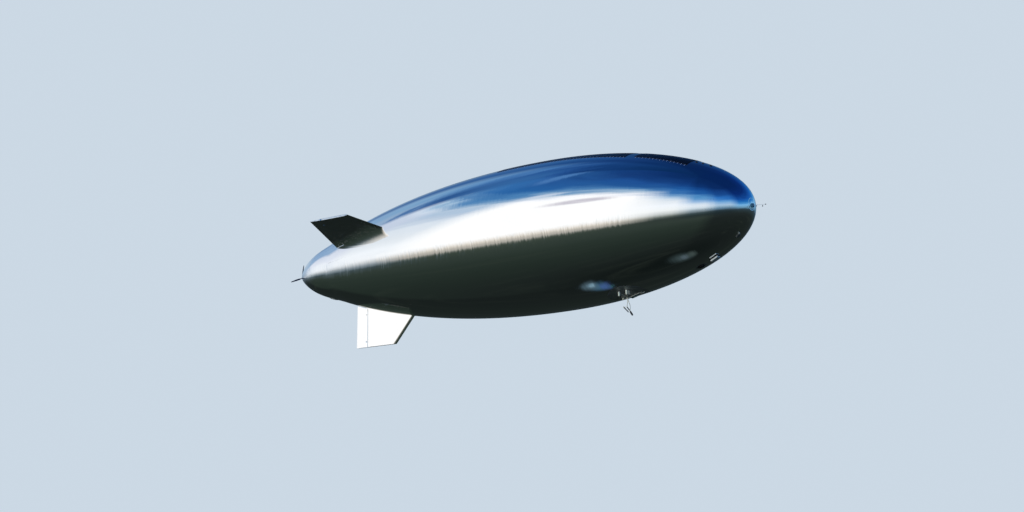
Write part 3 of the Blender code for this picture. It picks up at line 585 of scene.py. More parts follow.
# Tail fins, in each fin's plane: x along the hull, u outward from its axis
FIN_LE_ROOT_X = -8.05
FIN_LE_TIP = (-9.54, 5.08)
FIN_TE_TIP = (-12.44, 5.00)
FIN_INNER_U = 2.0
FIN_T_ROOT = 0.155
FIN_T_TIP = 0.125
FIN_NOSE = 0.245
FIN_NOSE_POWER = 1.6
FIN_SAG = 0.0015
CAP_SPAN = 0.9985
TAPE_EDGES = (0.972, 0.992)
# Across in half thicknesses, above the tip's face
TIP_CAP = ((-1.01, -0.012), (-1.01, 0.004), (0.0, 0.012), (1.01, 0.004), (1.01, -0.012))
HINGE_ROOT = (-11.48, 2.50)
HINGE_TIP = (-11.68, 5.00)
HINGE_SLOPE = (HINGE_TIP[0] - HINGE_ROOT[0]) / (HINGE_TIP[1] - HINGE_ROOT[1])
HINGE_LEAN = math.hypot(1.0, HINGE_SLOPE)
HINGE_REACH = 0.086
HINGE_SWING = math.radians(25.0)
FLAP_NOSE_R = 0.056
FLAP_REAR_HALF = 0.011
FLAP_REAR_X = -12.20
FLAP_REAR_LEAN = 0.24
FLAP_ROOT_CLEAR = 0.058
FLAP_FALL = math.radians(3.4)
LIP_THICK = 0.0025
LIP_LIFT = 0.0005
LIP_CLEAR = 0.002
LIP_OVERLAP = 0.004
LOWER_LIP_FORE = 0.048
LUG_U = (2.95, 4.62)
LUG_SIZE = (HINGE_REACH + 0.05, 0.038, 0.058)
# Ridge on the hull under the upper fins' flaps: where it starts, its length, its section
WIPER_U = 3.2
WIPER_BACK = 0.05
WIPER_LENGTH = 0.62
WIPER = ((-0.03, -0.01), (-0.010, 0.044), (0.010, 0.044), (0.03, -0.01))
# CAD fin, CAD flap, angle of its plane, how much further out its tip and further aft its nose are
FINS = (
    ("fin_lower", "rudder_lower", 270.0, -0.06, 0.00),
    ("fin_upper_starboard", "ruddervator_starboard", 150.0, 0.07, 0.04),
    ("fin_upper_port", "ruddervator_port", 30.0, 0.07, 0.04),
)
TIP_SLOPE = (FIN_LE_TIP[1] - FIN_TE_TIP[1]) / (FIN_LE_TIP[0] - FIN_TE_TIP[0])
LE_ROOT_U = hull_radius(FIN_LE_ROOT_X)
LE_SLOPE = (FIN_LE_TIP[0] - FIN_LE_ROOT_X) / (FIN_LE_TIP[1] - LE_ROOT_U)
RIBS = 7
NOSE_STEPS = 10
CHORD_STEPS = 42
SPAN_STEPS = 36


def fin_frame(angle):
    turn = math.radians(angle)
    outward = Y * math.cos(turn) + Z * math.sin(turn)
    across = outward.cross(X)
    return lambda x, t, u: X * x + across * t + outward * u


def hinge_x(u):
    return HINGE_ROOT[0] + HINGE_SLOPE * (u - HINGE_ROOT[1])


def tip_u(x, further_out):
    return FIN_TE_TIP[1] + further_out + TIP_SLOPE * (x - FIN_TE_TIP[0])


def nose_half(back):
    """Share of the full thickness at this distance behind the nose."""
    share = max(0.0, 1.0 - back / FIN_NOSE)
    return (1.0 - share ** (2 / FIN_NOSE_POWER)) ** (FIN_NOSE_POWER / 2)


def lip_end(low):
    """How far ahead of the hinge a lip at this height ends, so that the flap clears it at full swing."""
    over = low - LIP_CLEAR - FLAP_NOSE_R * math.cos(HINGE_SWING)
    return max(-0.035, FLAP_NOSE_R * math.sin(HINGE_SWING) - over / math.tan(HINGE_SWING - FLAP_FALL))


def fin_point(further, span, back, chord):
    """x, u and half thickness; back is metres behind the nose, and chord then a share to the rear."""
    u = 4.0
    for _ in range(14):
        x = FIN_LE_ROOT_X + LE_SLOPE * (u - LE_ROOT_U) - further[1] - back
        x += (hinge_x(u) + HINGE_REACH * HINGE_LEAN - x) * chord
        root = max(hull_radius(x) - 0.04, 0.5)
        u = root + (tip_u(x, further[0]) - root) * span
    share = (u - FIN_INNER_U) / (FIN_LE_TIP[1] - FIN_INNER_U)
    return x, u, (FIN_T_ROOT + (FIN_T_TIP - FIN_T_ROOT) * share) / 2


def tip_cap(name, look, slot, body, place, spots):
    """Cap over x, u and half thickness along a tip."""
    cap = Shape()
    rows = [[place(x, t * half, u + rise) for t, rise in TIP_CAP] for x, u, half in spots]
    cap.grid(rows, wrap=True, close=True)
    cap.done(name + "_tip", look, slot, body, crease=None)


def fin_skin(further, place):
    shape = Shape()
    rows = []
    for s in range(SPAN_STEPS + 1):
        span = s / SPAN_STEPS
        face = []
        for c in range(CHORD_STEPS, -NOSE_STEPS, -1):
            if c > 0:
                x, u, half = fin_point(further, span, FIN_NOSE, c / CHORD_STEPS)
                half -= FIN_SAG * abs(math.sin(math.pi * RIBS * c / CHORD_STEPS)) * math.sin(math.pi * span)
            else:
                turn = math.pi / 2 * -c / NOSE_STEPS
                half = fin_point(further, span, 0.0, 0.0)[2] * math.cos(turn) ** FIN_NOSE_POWER
                x, u, _ = fin_point(further, span, FIN_NOSE * (1 - math.sin(turn) ** FIN_NOSE_POWER), 0.0)
            face.append((x, half, u))
        x, u, _ = fin_point(further, span, 0.0, 0.0)
        rows.append([place(*spot) for spot in (*face, (x, 0.0, u), *((a, -t, b) for a, t, b in face[::-1]))])
    shape.grid(rows, wrap=True)
    count = len(rows[0])
    for first, turned in ((0, False), (SPAN_STEPS * count, True)):
        for i in range((count - 1) // 2):
            quad = (first + i, first + i + 1, first + count - 2 - i, first + count - 1 - i)
            if quad[1] == quad[2]:
                quad = (quad[0], quad[1], quad[3])
            shape.faces.append(quad[::-1] if turned else quad)
    return shape


def build_fins():
    steps = [s / SPAN_STEPS for s in range(SPAN_STEPS + 1)]
    for name, _, angle, *further in FINS:
        place = fin_frame(angle)
        shape = fin_skin(further, place)
        lugs = Shape()
        along = place(HINGE_SLOPE, 0, 1).normalized()
        across = place(0, 1, 0)
        ahead = across.cross(along)
        ahead = -ahead if ahead.x < 0 else ahead
        for u in LUG_U:
            centre = place(hinge_x(u), 0, u) + ahead * (HINGE_REACH / 2 - 0.005)
            lugs.box(centre, (ahead, across, along), LUG_SIZE, 0.004)
        lugs.done(name + "_lugs", "fin_tip", "fin_film", crease=None)
        for face in (-1, 1):
            rows = []
            for span in steps:
                rear, u, half = fin_point(further, span, 0.1, 1.0)
                fore = hinge_x(u) + LOWER_LIP_FORE if name == "fin_lower" else rear + LIP_OVERLAP
                high = half + LIP_LIFT
                low = high - LIP_THICK
                aft = hinge_x(u) + lip_end(low)
                corners = ((fore, low), (aft, low), (aft, high), (fore, high))
                rows.append([place(x, face * t, u) for x, t in corners])
            shape.grid(rows, wrap=True, close=True, flip=face < 0)
        if name != "fin_lower":
            xs = [hinge_x(WIPER_U) - WIPER_BACK - WIPER_LENGTH * i / 12 for i in range(13)]
            rows = [[place(x, t, hull_radius(x) + rise) for t, rise in WIPER] for x in xs]
            shape.grid(rows, wrap=True, close=True)
        spots = []
        for i in range(1, 8):
            back = FIN_NOSE * i / 8
            x, u, half = fin_point(further, CAP_SPAN, back, 0.0)
            spots.append((x, u, half * nose_half(back)))
        spots += [fin_point(further, CAP_SPAN, FIN_NOSE, c / CHORD_STEPS) for c in range(CHORD_STEPS + 1)]
        tip_cap(name, "fin_film" if name == "fin_lower" else "fin_tip", "fin_film", "hull", place, spots)
        shape.done(name + "_skin", "fin_film", replaces=name)

        # Tapes over the tip, the hinge edge and the ribs: rows of (span, chord), half width, lift, side
        shares = [s / 24 for s in range(25)]
        tip = [[(span, chord) for span in TAPE_EDGES] for chord in shares]
        rear = [[(0.02 + 0.95 * share, chord) for chord in TAPE_EDGES] for share in shares]
        bands = [(rows, 0.0, 0.0009, 1) for rows in (tip, rear)]
        for r in range(1, RIBS):
            spans = [min(span, 0.985) for span in steps[::2]]
            bands.append(([[(span, r / RIBS)] * 2 for span in spans], 0.015, 0.0006, -1))
        tapes = Shape()
        for face in (-1, 1):
            for rows, half_width, lift, turned in bands:
                strip = []
                for row in rows:
                    spots = [fin_point(further, span, FIN_NOSE, chord) for span, chord in row]
                    strip.append([
                        place(x + dx, face * (half + lift), u)
                        for (x, u, half), dx in zip(spots, (-half_width, half_width))
                    ])
                tapes.grid(strip, flip=face * turned > 0)
        tapes.done(name + "_tapes", "fin_film", crease=None)


def build_flaps():
    """The CAD flaps stay, with tapes over their ribs and trailing edges."""
    for _, name, angle, further_out, _ in FINS:
        place = fin_frame(angle)

        def spot(share, span):
            """x, u and half thickness; share runs from the hinge to the trailing edge."""
            u = 4.0
            for _ in range(14):
                x = hinge_x(u) + (FLAP_REAR_X - FLAP_REAR_LEAN * span - hinge_x(u)) * share
                root = hull_radius(x) + FLAP_ROOT_CLEAR
                u = root + (tip_u(x, further_out) - root) * span
            return x, u, FLAP_NOSE_R + (FLAP_REAR_HALF - FLAP_NOSE_R) * share

        shape = Shape()
        bands = [((0.16, 0.95), (0.985, 0.985), 0.010), ((0.94, 0.94), (0.02, 0.98), 0.016)]
        bands += [((0.16, 0.92), (r, r), 0.010) for r in (0.25, 0.5, 0.75)]
        for face in (-1, 1):
            for (c0, c1), (s0, s1), half_width in bands:
                dx, du = (half_width, 0.0) if c0 == c1 else (0.0, half_width)
                strip = []
                for i in range(13):
                    x, u, half = spot(c0 + (c1 - c0) * i / 12, s0 + (s1 - s0) * i / 12)
                    t = face * (half + 0.0012)
                    strip.append([place(x - dx, t, u - du), place(x + dx, t, u + du)])
                shape.grid(strip, flip=face > 0)
        shape.done(name + "_tapes", "seam_tape", "flap_film", name, crease=None)
        spots = [spot(0.02 + 0.96 * i / 12, 1.0) for i in range(13)]
        tip_cap(name, "fin_tip", "flap_film", name, place, spots)


# Crest solar arrays: CAD node, aft end, fore end, half widths there, modules along and across
ARRAYS = (
    ("solar_array_aft", -0.30, 8.80, 1.85, 1.85, 20, 8),
    ("solar_array_fore", 9.36, 12.85, 1.75, 1.58, 8, 7),
)
ARRAY_BASE = 0.0055
ARRAY_TOP = 0.0118
ARRAY_FOOT = -0.004
MODULE_GAP = 0.022
HEM = 0.060
SHEET_STEPS = 48
SHEET_ACROSS = 28
# Ties along the sheets' edges: pitch, start inside the edge, length, half width, thickness, height and fall
LACE_PITCH = 0.23
TIE_INSIDE = 0.045
TIE_LENGTH = 0.150
TIE_HALF = 0.016
TIE_THICK = 0.003
TIE_TOP = 0.0125
TIE_FALL = 0.0095


def build_arrays():
    for name, aft, fore, aft_half, fore_half, along, across in ARRAYS:
        length = fore - aft

        def half_at(x):
            return aft_half + (fore_half - aft_half) * (x - aft) / length

        def spot(a, b, out):
            """a and b run from 0 to 1 along and across the array."""
            x = aft + length * a
            return on_hull(x, plan_angle(x, half_at(x) * (2 * b - 1)), out)

        def cell(size, i, count):
            """Ends of a module as shares of the array's size."""
            pitch = (size - 2 * HEM) / count
            return (HEM + pitch * i + MODULE_GAP / 2) / size, (HEM + pitch * (i + 1) - MODULE_GAP / 2) / size

        base = Shape()
        rows = []
        shares = [j / SHEET_ACROSS for j in range(SHEET_ACROSS + 1)]
        for i in range(SHEET_STEPS + 1):
            a = i / SHEET_STEPS
            row = [spot(a, b, ARRAY_BASE) for b in shares]
            rows.append([spot(a, 0.0, ARRAY_FOOT), *row, spot(a, 1.0, ARRAY_FOOT)])
        base.grid(rows, flip=True)
        for a in (0.0, 1.0):
            edge = [[spot(a, b, out) for out in (ARRAY_BASE, ARRAY_FOOT)] for b in shares]
            base.grid(edge, flip=a < 0.5)
        base.done(name + "_sheet", "array_sheet", "solar_cells", replaces=name, crease=None)

        modules = Shape()
        for i in range(along):
            for j in range(across):
                a0, a1 = cell(length, i, along)
                b0, b1 = cell(2 * half_at(aft + length * (a0 + a1) / 2), j, across)
                rows = []
                for k in range(5):
                    a = a0 + (a1 - a0) * k / 4
                    row = [spot(a, b0 + (b1 - b0) * m / 5, ARRAY_TOP) for m in range(6)]
                    rows.append([spot(a, b0, ARRAY_BASE - 0.001), *row, spot(a, b1, ARRAY_BASE - 0.001)])
                sink0, sink1 = (spot(a, 0.5, 0) - spot(a, 0.5, 0.006) for a in (a0, a1))
                modules.grid([[p + sink0 for p in rows[0]], *rows], flip=True)
                modules.grid([rows[-1], [p + sink1 for p in rows[-1]]], flip=True)
        modules.done(name + "_modules", "solar_cell", "solar_cells")

        ties = Shape()
        count = int(length / LACE_PITCH)
        for i in range(count):
            x = aft + length * (i + 0.5) / count
            for side in (-1, 1):
                strip = []
                for k in range(5):
                    angle = plan_angle(x, side * (half_at(x) - TIE_INSIDE + TIE_LENGTH * k / 4))
                    out = TIE_TOP - TIE_FALL * max(0.0, (k - 1) / 3)
                    low, top = TIE_HALF, TIE_HALF - 0.002
                    edges = ((-low, out - TIE_THICK), (low, out - TIE_THICK), (top, out), (-top, out))
                    strip.append([on_hull(x + dx, angle, high) for dx, high in edges])
                ties.grid(strip, wrap=True, close=True)
        ties.done(name + "_ties", "lace", "solar_cells", smooth=False, crease=None)


# Small antenna domes on the crest ahead of the arrays: x, y, radius; distance out, share of the radius
CREST_DOMES = ((13.05, -0.72, 0.08), (13.40, -0.58, 0.065), (13.86, -0.45, 0.09))
DOME = ((0, 1), (0.012, 1), (0.016, 0.86), (0.034, 0.80), (0.046, 0.62), (0.053, 0.3))


def build_crest_domes():
    shape = Shape()
    for x, y, size in CREST_DOMES:
        angle = plan_angle(x, y)
        foot = on_hull(x, angle, -0.004)
        out = (on_hull(x, angle, 0.1) - foot).normalized()
        shape.lathe(foot, out, [(d, size * share) for d, share in DOME], 28)
        shape.bolts(foot, out, out.orthogonal(), 8, size * 0.92, mm(10, 5, 15, 5, 16.5, 3))
    shape.done("crest_domes", "dark_fitting")


# Nose
NOSE_DROP = 0.085
CAP_EDGE_X = NOSE_X - 0.040
CAP_EDGE_R = 0.3474
DISC_BACK_X = 16.243317
DISC_FRONT_X = 16.328317
BEAD_R = 0.0012
NOSE_STUDS = 36
NOSE_STUD_RINGS = (0.322, 0.385)
HEAD = mm(0, 4, 8, 18, 20, 27, 35, 30, 60, 30, 72, 26, 80, 12)


def nose_face_x(radius):
    return WIDEST_X + (NOSE_X - WIDEST_X) * math.sqrt(1.0 - (radius / HULL_RADIUS) ** 2)


def build_nose():
    cap = Shape()
    spots = [(CAP_EDGE_X - 0.045, 0.3274), (CAP_EDGE_X - 0.012, CAP_EDGE_R)]
    spots.append((CAP_EDGE_X, CAP_EDGE_R + 0.0005))
    outer = CAP_EDGE_R - 0.002
    for i in range(25):
        radius = outer - (outer - 0.03) * i / 24
        spots.append((min(nose_face_x(radius), DISC_BACK_X - 0.0005), radius))
    cap.lathe(ORIGIN, X, spots, 96, Y)
    cap.done("nose_cap_dome", "cap_film", replaces="nose_cap")

    # Lacing studs round the cap, and a bead where it meets the film
    studs = Shape()
    for radius in NOSE_STUD_RINGS:
        centre = X * (nose_face_x(radius) - 0.003)
        studs.bolts(centre, X, Y, NOSE_STUDS, radius, mm(0, 3, 4, 3, 5, 2.1, 5.5, 0.6), 10)
    studs.done("nose_studs", "cap_film", "probe_metal", crease=None)
    bead = Shape()
    turns = [2 * math.pi * k / 8 for k in range(9)]
    spots = [(nose_face_x(0.350) + BEAD_R * math.sin(t), 0.3490 + BEAD_R * math.cos(t)) for t in turns]
    bead.lathe(ORIGIN, X, spots, 96, Y, close=False)
    bead.done("nose_bead", "cap_film", crease=None)

    disc = Shape()
    centre = Vector((DISC_BACK_X, 0, -NOSE_DROP))
    disc.lathe(centre, X, mm(0, 108, 0, 116, 30, 116, 34, 110, 83, 110, 83, 60, 85, 58, 85, 20), 64)
    disc.bolts(centre + X * 0.082, X, Y, 12, 0.088, mm(0, 7, 2.5, 7, 3, 5.5, 3, 2), start=0.5)
    disc.done("nose_disc_plate", "disc", "dark_fitting", replaces="nose_disc")
    ring = Shape()
    ring.lathe(centre, X, mm(0, 112, 0, 127, 5, 130, 70, 130, 80, 127, 85, 120, 85, 112), 64, Y, close=False)
    ring.done("nose_disc_ring", "disc_ring", "dark_fitting")


def build_probe():
    """Slender pale mast and strut, with a dark vane and two dark heads."""
    base = Vector((DISC_FRONT_X + 0.0003, 0, -NOSE_DROP))
    droop = math.radians(3.9)
    along = X * math.cos(droop) - Z * math.sin(droop)
    mast = Shape()
    mast.lathe(base, X, mm(0, 40, 0, 50, 6, 50, 12, 40, 20, 20, 20, 8), 24)
    mast.lathe(base + along * 0.01, along, mm(
        0, 5, 0, 8.5, 300, 8.5, 302, 11.5, 330, 11.5, 332, 7, 800, 6, 800, 3,
    ), 16)
    mast.lathe(base + along * 0.178 + Z * 0.017, -Z, mm(0, 12, 10, 26, 30, 34, 100, 34, 120, 24, 132, 8), 20)
    mast.done("nose_probe_mast", "probe_pale", "probe_metal", replaces="nose_probe")
    heads = Shape()
    vane = base + along * 0.618
    heads.tube(vane, vane - Z * 0.09, 0.006, 10)
    heads.lathe(vane - Z * 0.092 - along * 0.04, along, HEAD, 20)
    heads.lathe(base + along * 0.79, along, HEAD, 20)
    heads.done("nose_probe_heads", "probe_dark", "probe_metal")


# Gondola
APEX = Vector((7.33, -0.15, -4.475))
FRAME_FEET = ((7.36, -1.16), (7.86, -1.05), (6.72, 0.30), (7.62, 0.36))
TIES = ((0, 1), (0, 2), (1, 3), (2, 3))
# Name, place in plan, lower end, radius against the first one's, length of the pale body
CANISTERS = (
    ("canister_aft", 7.43, -1.30, -4.49, 1.0, 0.25),
    ("canister_mid", 7.90, -1.20, -4.44, 1.0, 0.29),
    ("canister_fore", 8.02, -1.10, -4.44, 0.8, 0.24),
)
POD = Vector((6.99, -0.10, -4.47))
BOOM = (Vector((7.48, 0.05, -4.44)), Vector((8.42, 0.05, -4.225)))
BOOM_TUBE_END = Vector((8.36, -0.10, -4.20))
KNEE = Vector((7.47, -0.15, -4.97))
BARS = (
    ("skid_bar_aft", Vector((7.00, -0.15, -4.965)), Vector((7.32, -0.15, -5.320))),
    ("skid_bar_fore", Vector((7.23, -0.15, -4.985)), Vector((7.475, -0.15, -5.330))),
)
FOOT = (Vector((7.44, -0.15, -5.29)), Vector((7.60, -0.15, -5.560)))
# Sleeves on each bar, along it from its start, or back from its end where less than zero
SLEEVES = ((0.019,), (0.019, -0.075))
SLEEVE = mm(-31, 27, -31, 36, -26, 39, 26, 39, 31, 36, 31, 27, -31, 27)
# Dark metal sheets on the belly round the gondola and round the valve, painted shade: they darken the film
# there and keep it from mirroring the gondola; x, y of the middle, half length, half width
PAINTED_SHADE_PATCHES = ((7.55, -0.42, 1.25, 1.30), (12.48, 0.0, 0.36, 0.36))
PATCH_CORNERS = 72
PATCH_RINGS = (*((0.1 * k, 0.003) for k in range(10)), (0.96, 0.0025), (1.0, -0.001))


def belly_axes(x, y):
    """Place on the belly, and its axes: forward along the skin, to port, out of the skin."""
    along, outward = hull_normal(x)
    place = Vector((x, y, -math.sqrt(hull_radius(x) ** 2 - y * y)))
    return place, (X * outward + Z * along, Y, X * along - Z * outward)


def build_patches():
    # Dark metal sheets that paint shade on the belly film round the gondola and the valve
    shape = Shape()
    for x0, y0, half_x, half_y in PAINTED_SHADE_PATCHES:
        rows = []
        for share, out in PATCH_RINGS:
            spots = circle(Vector((x0, y0, 0)), X * half_x, Y * half_y, share, PATCH_CORNERS)
            rows.append([on_hull(spot.x, plan_angle(spot.x, spot.y, True), out) for spot in spots])
        shape.grid(rows, wrap=True)
    shape.done("painted_shade_patches", "painted_shade_patch", "mirror_film", crease=None)


def build_frame():
    tubes = Shape()
    tubes.lathe(APEX + Z * 0.065, -Z, mm(
        0, 20, 4, 34, 12, 44, 50, 44, 52, 52, 78, 52, 80, 44, 118, 44, 126, 36, 130, 20,
    ), 24)
    ends = []
    for x, y in FRAME_FEET:
        angle = plan_angle(x, y, True)
        foot, low = on_hull(x, angle, 0.004), on_hull(x, angle, 0.03)
        along = (low - foot).normalized()
        tubes.lathe(foot, along, mm(0, 50, 0, 62, 6, 62, 12, 54, 14, 30, 30, 26, 34, 12), 24)
        tubes.bolts(foot, along, along.orthogonal().normalized(), 6, 0.046, mm(4, 6, 12, 6, 15, 4))
        tubes.tube(APEX, low, 0.018, 14)
        way = (low - APEX).normalized()
        tubes.tube(APEX + way * 0.03, APEX + way * 0.11, 0.024, 14, rounded=0.004)
        ends.append(APEX.lerp(low, 0.16))
    for a, b in TIES:
        tubes.tube(ends[a], ends[b], 0.012, 10)
    tubes.tube(APEX, BOOM_TUBE_END, 0.028, 14)
    tubes.tube(BOOM[0].lerp(BOOM[1], 0.60), BOOM[1], 0.028, 14, rounded=0.006)
    tubes.done("gondola_tubes", "white_tube", replaces="gondola_frame")


def build_payload():
    """Canisters, sensor pod and keel boom."""
    necks = Shape()
    for name, x, y, low, wide, tall in CANISTERS:
        body = Shape()
        profile = mm(0, 14, 4, 30, 12, 45, 30, 57, 50, 62)
        for band in (tall * 0.35, tall * 0.72):
            profile += mm(0, 62, 2, 65, 16, 65, 18, 62, at=band)
        profile += mm(-20, 62, -6, 54, 0, 34, at=tall)
        body.lathe((x, y, low), Z, [(d, r * wide) for d, r in profile], 28)
        body.box((x, y - 0.060 * wide, low + tall * 0.55), AXES, (0.05, 0.018, 0.05), 0.004)
        look = "grey_canister" if name == "canister_fore" else "white_canister"
        body.done(name + "_body", look, "white_canister", replaces=name)
        top = -math.sqrt(hull_radius(x) ** 2 - y * y) + 0.02
        profile = [(0, 0.024), (0.01, 0.024), (0.012, 0.016), (top - low - tall, 0.016)]
        necks.lathe((x, y, low + tall), Z, profile, 14)
    necks.done("canister_necks", "dark_carbon")

    pod = Shape()
    pod.box(POD, AXES, (0.11, 0.10, 0.10), 0.012)
    pod.box(POD + Z * 0.09, AXES, (0.05, 0.05, 0.10), 0.004)
    pod.lathe(POD - Y * 0.048, -Y, mm(0, 30, 6, 30, 8, 26, 4, 22, 4, 4), 24)
    pod.done("sensor_pod_body", "white_canister", replaces="sensor_pod")

    boom = Shape()
    boom.lathe(BOOM[0], BOOM[1] - BOOM[0], mm(
        0, 18, 6, 42, 20, 62, 45, 74, 120, 75, 122, 79, 150, 79, 152, 75, 340, 75, 342, 79, 370, 79, 372,
        75, 460, 73, 530, 58, 570, 40, 600, 24,
    ), 32)
    for share in (0.2, 0.44):
        spot = BOOM[0].lerp(BOOM[1], share)
        boom.tube(spot, spot + Z * 0.14, 0.016, 12)
    boom.done("keel_boom_body", "boom", "dark_carbon", replaces="keel_boom")


def build_skid():
    legs = Shape()
    sleeves = []
    for (_, start, end), places in zip(BARS, SLEEVES):
        along = (end - start).normalized()
        for place in places:
            sleeves.append((start if place > 0 else end) + along * place)
            legs.lathe(sleeves[-1], along, SLEEVE, 20, Y, close=False)
    neck = APEX - Z * 0.067
    legs.lathe(neck + Z * 0.0165, -Z, mm(0, 20, 0, 30, 22, 30, 30, 24, 31, 10), 20)
    legs.tube(neck, sleeves[1], 0.021, 12)
    legs.tube(neck, KNEE, 0.021, 12)
    legs.tube(KNEE, sleeves[2], 0.020, 12)
    legs.tube(sleeves[0], sleeves[1], 0.011, 10)
    legs.lathe(KNEE + Z * 0.022, -Z, mm(0, 10, 4, 20, 40, 20, 44, 10), 16)
    legs.done("gondola_leg_tubes", "white_tube", replaces="gondola_legs")

    for name, start, end in BARS:
        bar = Shape()
        length = (end - start).length
        thick_end = length - (0.11 if name == "skid_bar_fore" else 0.008)
        profile = mm(0, 16, 4, 26.5, 52, 26.5, 56, 31)
        for i in range(5):
            profile += mm(0, 31, 2, 33, 10, 33, 12, 31, at=0.08 + (thick_end - 0.12) * i / 4)
        profile += mm(0, 31, 4, 26.5, at=thick_end) + mm(-2, 26.5, 0, 16, at=length)
        bar.lathe(start, end - start, profile, 24)
        bar.done(name + "_rod", "dark_carbon", replaces=name)
    foot = Shape()
    profile = mm(0, 28, 6, 40, 20, 50)
    for i in range(6):
        profile += mm(0, 55, 18, 55, 21, 51.5, 31, 51.5, at=0.05 + 0.034 * i)
    profile += mm(275, 53, 295, 44, 308, 28, 313.5, 8)
    foot.lathe(FOOT[0], FOOT[1] - FOOT[0], profile, 28)
    foot.done("skid_foot_pad", "grey_foot", replaces="skid_foot")


# Places of the belly's fittings
BOX_AT = (13.46, -0.02)
VALVE_AT = (12.48, 0.0)
EYE_AT = (15.23, -0.14)
WINDOW_AT = (15.36, -0.24)
VENT_AT = (-13.85, -0.12)


def build_belly():
    place, axes = belly_axes(*BOX_AT)
    ahead, _, out = axes
    case = Shape()
    case.box(place + out * 0.096, axes, (0.52, 0.36, 0.106), 0.012)
    case.box(place + out * 0.146, axes, (0.40, 0.25, 0.010), 0.003)
    case.corners(place + out * 0.147, ahead * 0.235, Y * 0.155, out, mm(0, 9, 2, 9, 3.5, 6), 10)
    for side in (-0.261, 0.261):
        for k in range(-2, 3):
            case.box(place + ahead * side + Y * (0.05 * k) + out * 0.09, axes, (0.006, 0.03, 0.05), 0.002)
    case.done("belly_box_case", "pale_housing", replaces="belly_box")
    skirt = Shape()
    skirt.box(place + out * 0.016, axes, (0.49, 0.33, 0.056), 0.006)
    skirt.box(place + out * 0.006, axes, (0.62, 0.46, 0.016), 0.006)
    skirt.done("belly_box_skirt", "dark_fitting", "pale_housing")

    place, (ahead, _, out) = belly_axes(*VALVE_AT)
    valve = Shape()
    valve.lathe(place, out, mm(
        -30, 220, 4, 240, 14, 240, 18, 215, 30, 205, 34, 190, 50, 186, 55, 168, 60, 165, 78, 100, 84, 50,
        88, 45, 90, 20,
    ), 48)
    valve.bolts(place + out * 0.012, out, ahead, 16, 0.227, mm(0, 8, 6, 8, 8, 5))
    for way in circle(ORIGIN, ahead, Y, 1.0, 16):
        valve.box(place + way * 0.125 + out * 0.070, (way, out.cross(way), out), (0.07, 0.012, 0.016), 0.003)
    valve.done("belly_valve_dome", "valve_rubber", replaces="belly_valve")

    place, axes = belly_axes(*EYE_AT)
    ahead, _, out = axes
    eye = Shape()
    eye.box(place + out * 0.005, axes, (0.26, 0.26, 0.050), 0.010)
    eye.corners(place + out * 0.029, ahead * 0.105, Y * 0.105, out, mm(0, 7, 3, 7, 4, 5), 8)
    eye.done("nose_eye_plate", "eye_plate", "pale_housing", replaces="nose_eye")
    place, axes = belly_axes(*WINDOW_AT)
    out = axes[2]
    window = Shape()
    window.box(place + out * 0.020, axes, (0.10, 0.10, 0.094), 0.014)
    window.lathe(place + out * 0.064, out, mm(0, 36, 6, 36, 8, 30, 4, 26, 4, 6), 24)
    window.done("nose_eye_window", "grey_canister", "pale_housing")

    place, axes = belly_axes(*VENT_AT)
    ahead, _, out = axes
    tilted = ((ahead + out * 0.5).normalized(), Y, (out - ahead * 0.5).normalized())
    vent = Shape()
    vent.box(place - out * 0.008, axes, (0.36, 0.42, 0.048), 0.010)
    for k in range(-3, 4):
        vent.box(place + ahead * (0.042 * k) + out * 0.018, tilted, (0.030, 0.35, 0.010), 0.002)
    vent.done("tail_vent_louvres", "vent", "dark_fitting", replaces="tail_vent")


# Stern
CONE_END_X = -16.05
PIVOT_X = -16.17
FORK_END_X = -16.202
MOTOR_AFT = 0.075
MOTOR_YAW = math.radians(-28.0)
HUB_GAP = 0.005
HUB_LENGTH = 0.07
BLADE_RADIUS = 0.84
BLADE_AZIMUTHS = (78.2, 198.2, 318.2)
BLADE_BROAD = 1.2
TAIL_STUDS = 30
SECTION_CORNERS = 14
# Share of radius, chord, thickness, pitch in degrees
BLADE_SECTIONS = (
    (0.03, 0.036, 0.026, 48.0), (0.07, 0.040, 0.024, 47.0), (0.12, 0.066, 0.018, 42.0),
    (0.20, 0.090, 0.015, 36.0), (0.30, 0.098, 0.013, 31.0), (0.45, 0.092, 0.011, 25.0),
    (0.60, 0.082, 0.009, 20.0), (0.75, 0.068, 0.0075, 16.0), (0.88, 0.052, 0.006, 13.0),
    (0.96, 0.038, 0.005, 11.6), (0.99, 0.024, 0.0035, 11.2), (1.00, 0.010, 0.002, 11.0),
)


def build_fork():
    fork = Shape()
    plate = X * (CONE_END_X - 0.0003)
    fork.lathe(plate, -X, mm(0, 94, 3, 100, 9, 100, 12, 96, 12, 30), 40)
    fork.bolts(plate - X * 0.011, -X, Y, 10, 0.083, mm(0, 7, 5, 7, 7, 5))
    start = CONE_END_X - 0.0063
    for side in (-Z, Z):
        middle = X * ((start + FORK_END_X) / 2) + side * 0.065
        fork.box(middle, AXES, (start - FORK_END_X, 0.05, 0.013), 0.003)
        fork.box(plate - X * 0.03 + side * 0.065, AXES, (0.045, 0.064, 0.013), 0.003)
        profile = mm(0, 13, 0, 24, 13, 24, 15, 21, 15, 13)
        fork.lathe(X * PIVOT_X + side * 0.058, side, profile, 28)
    fork.done("tail_fork_yoke", "fork_metal", replaces="tail_fork")


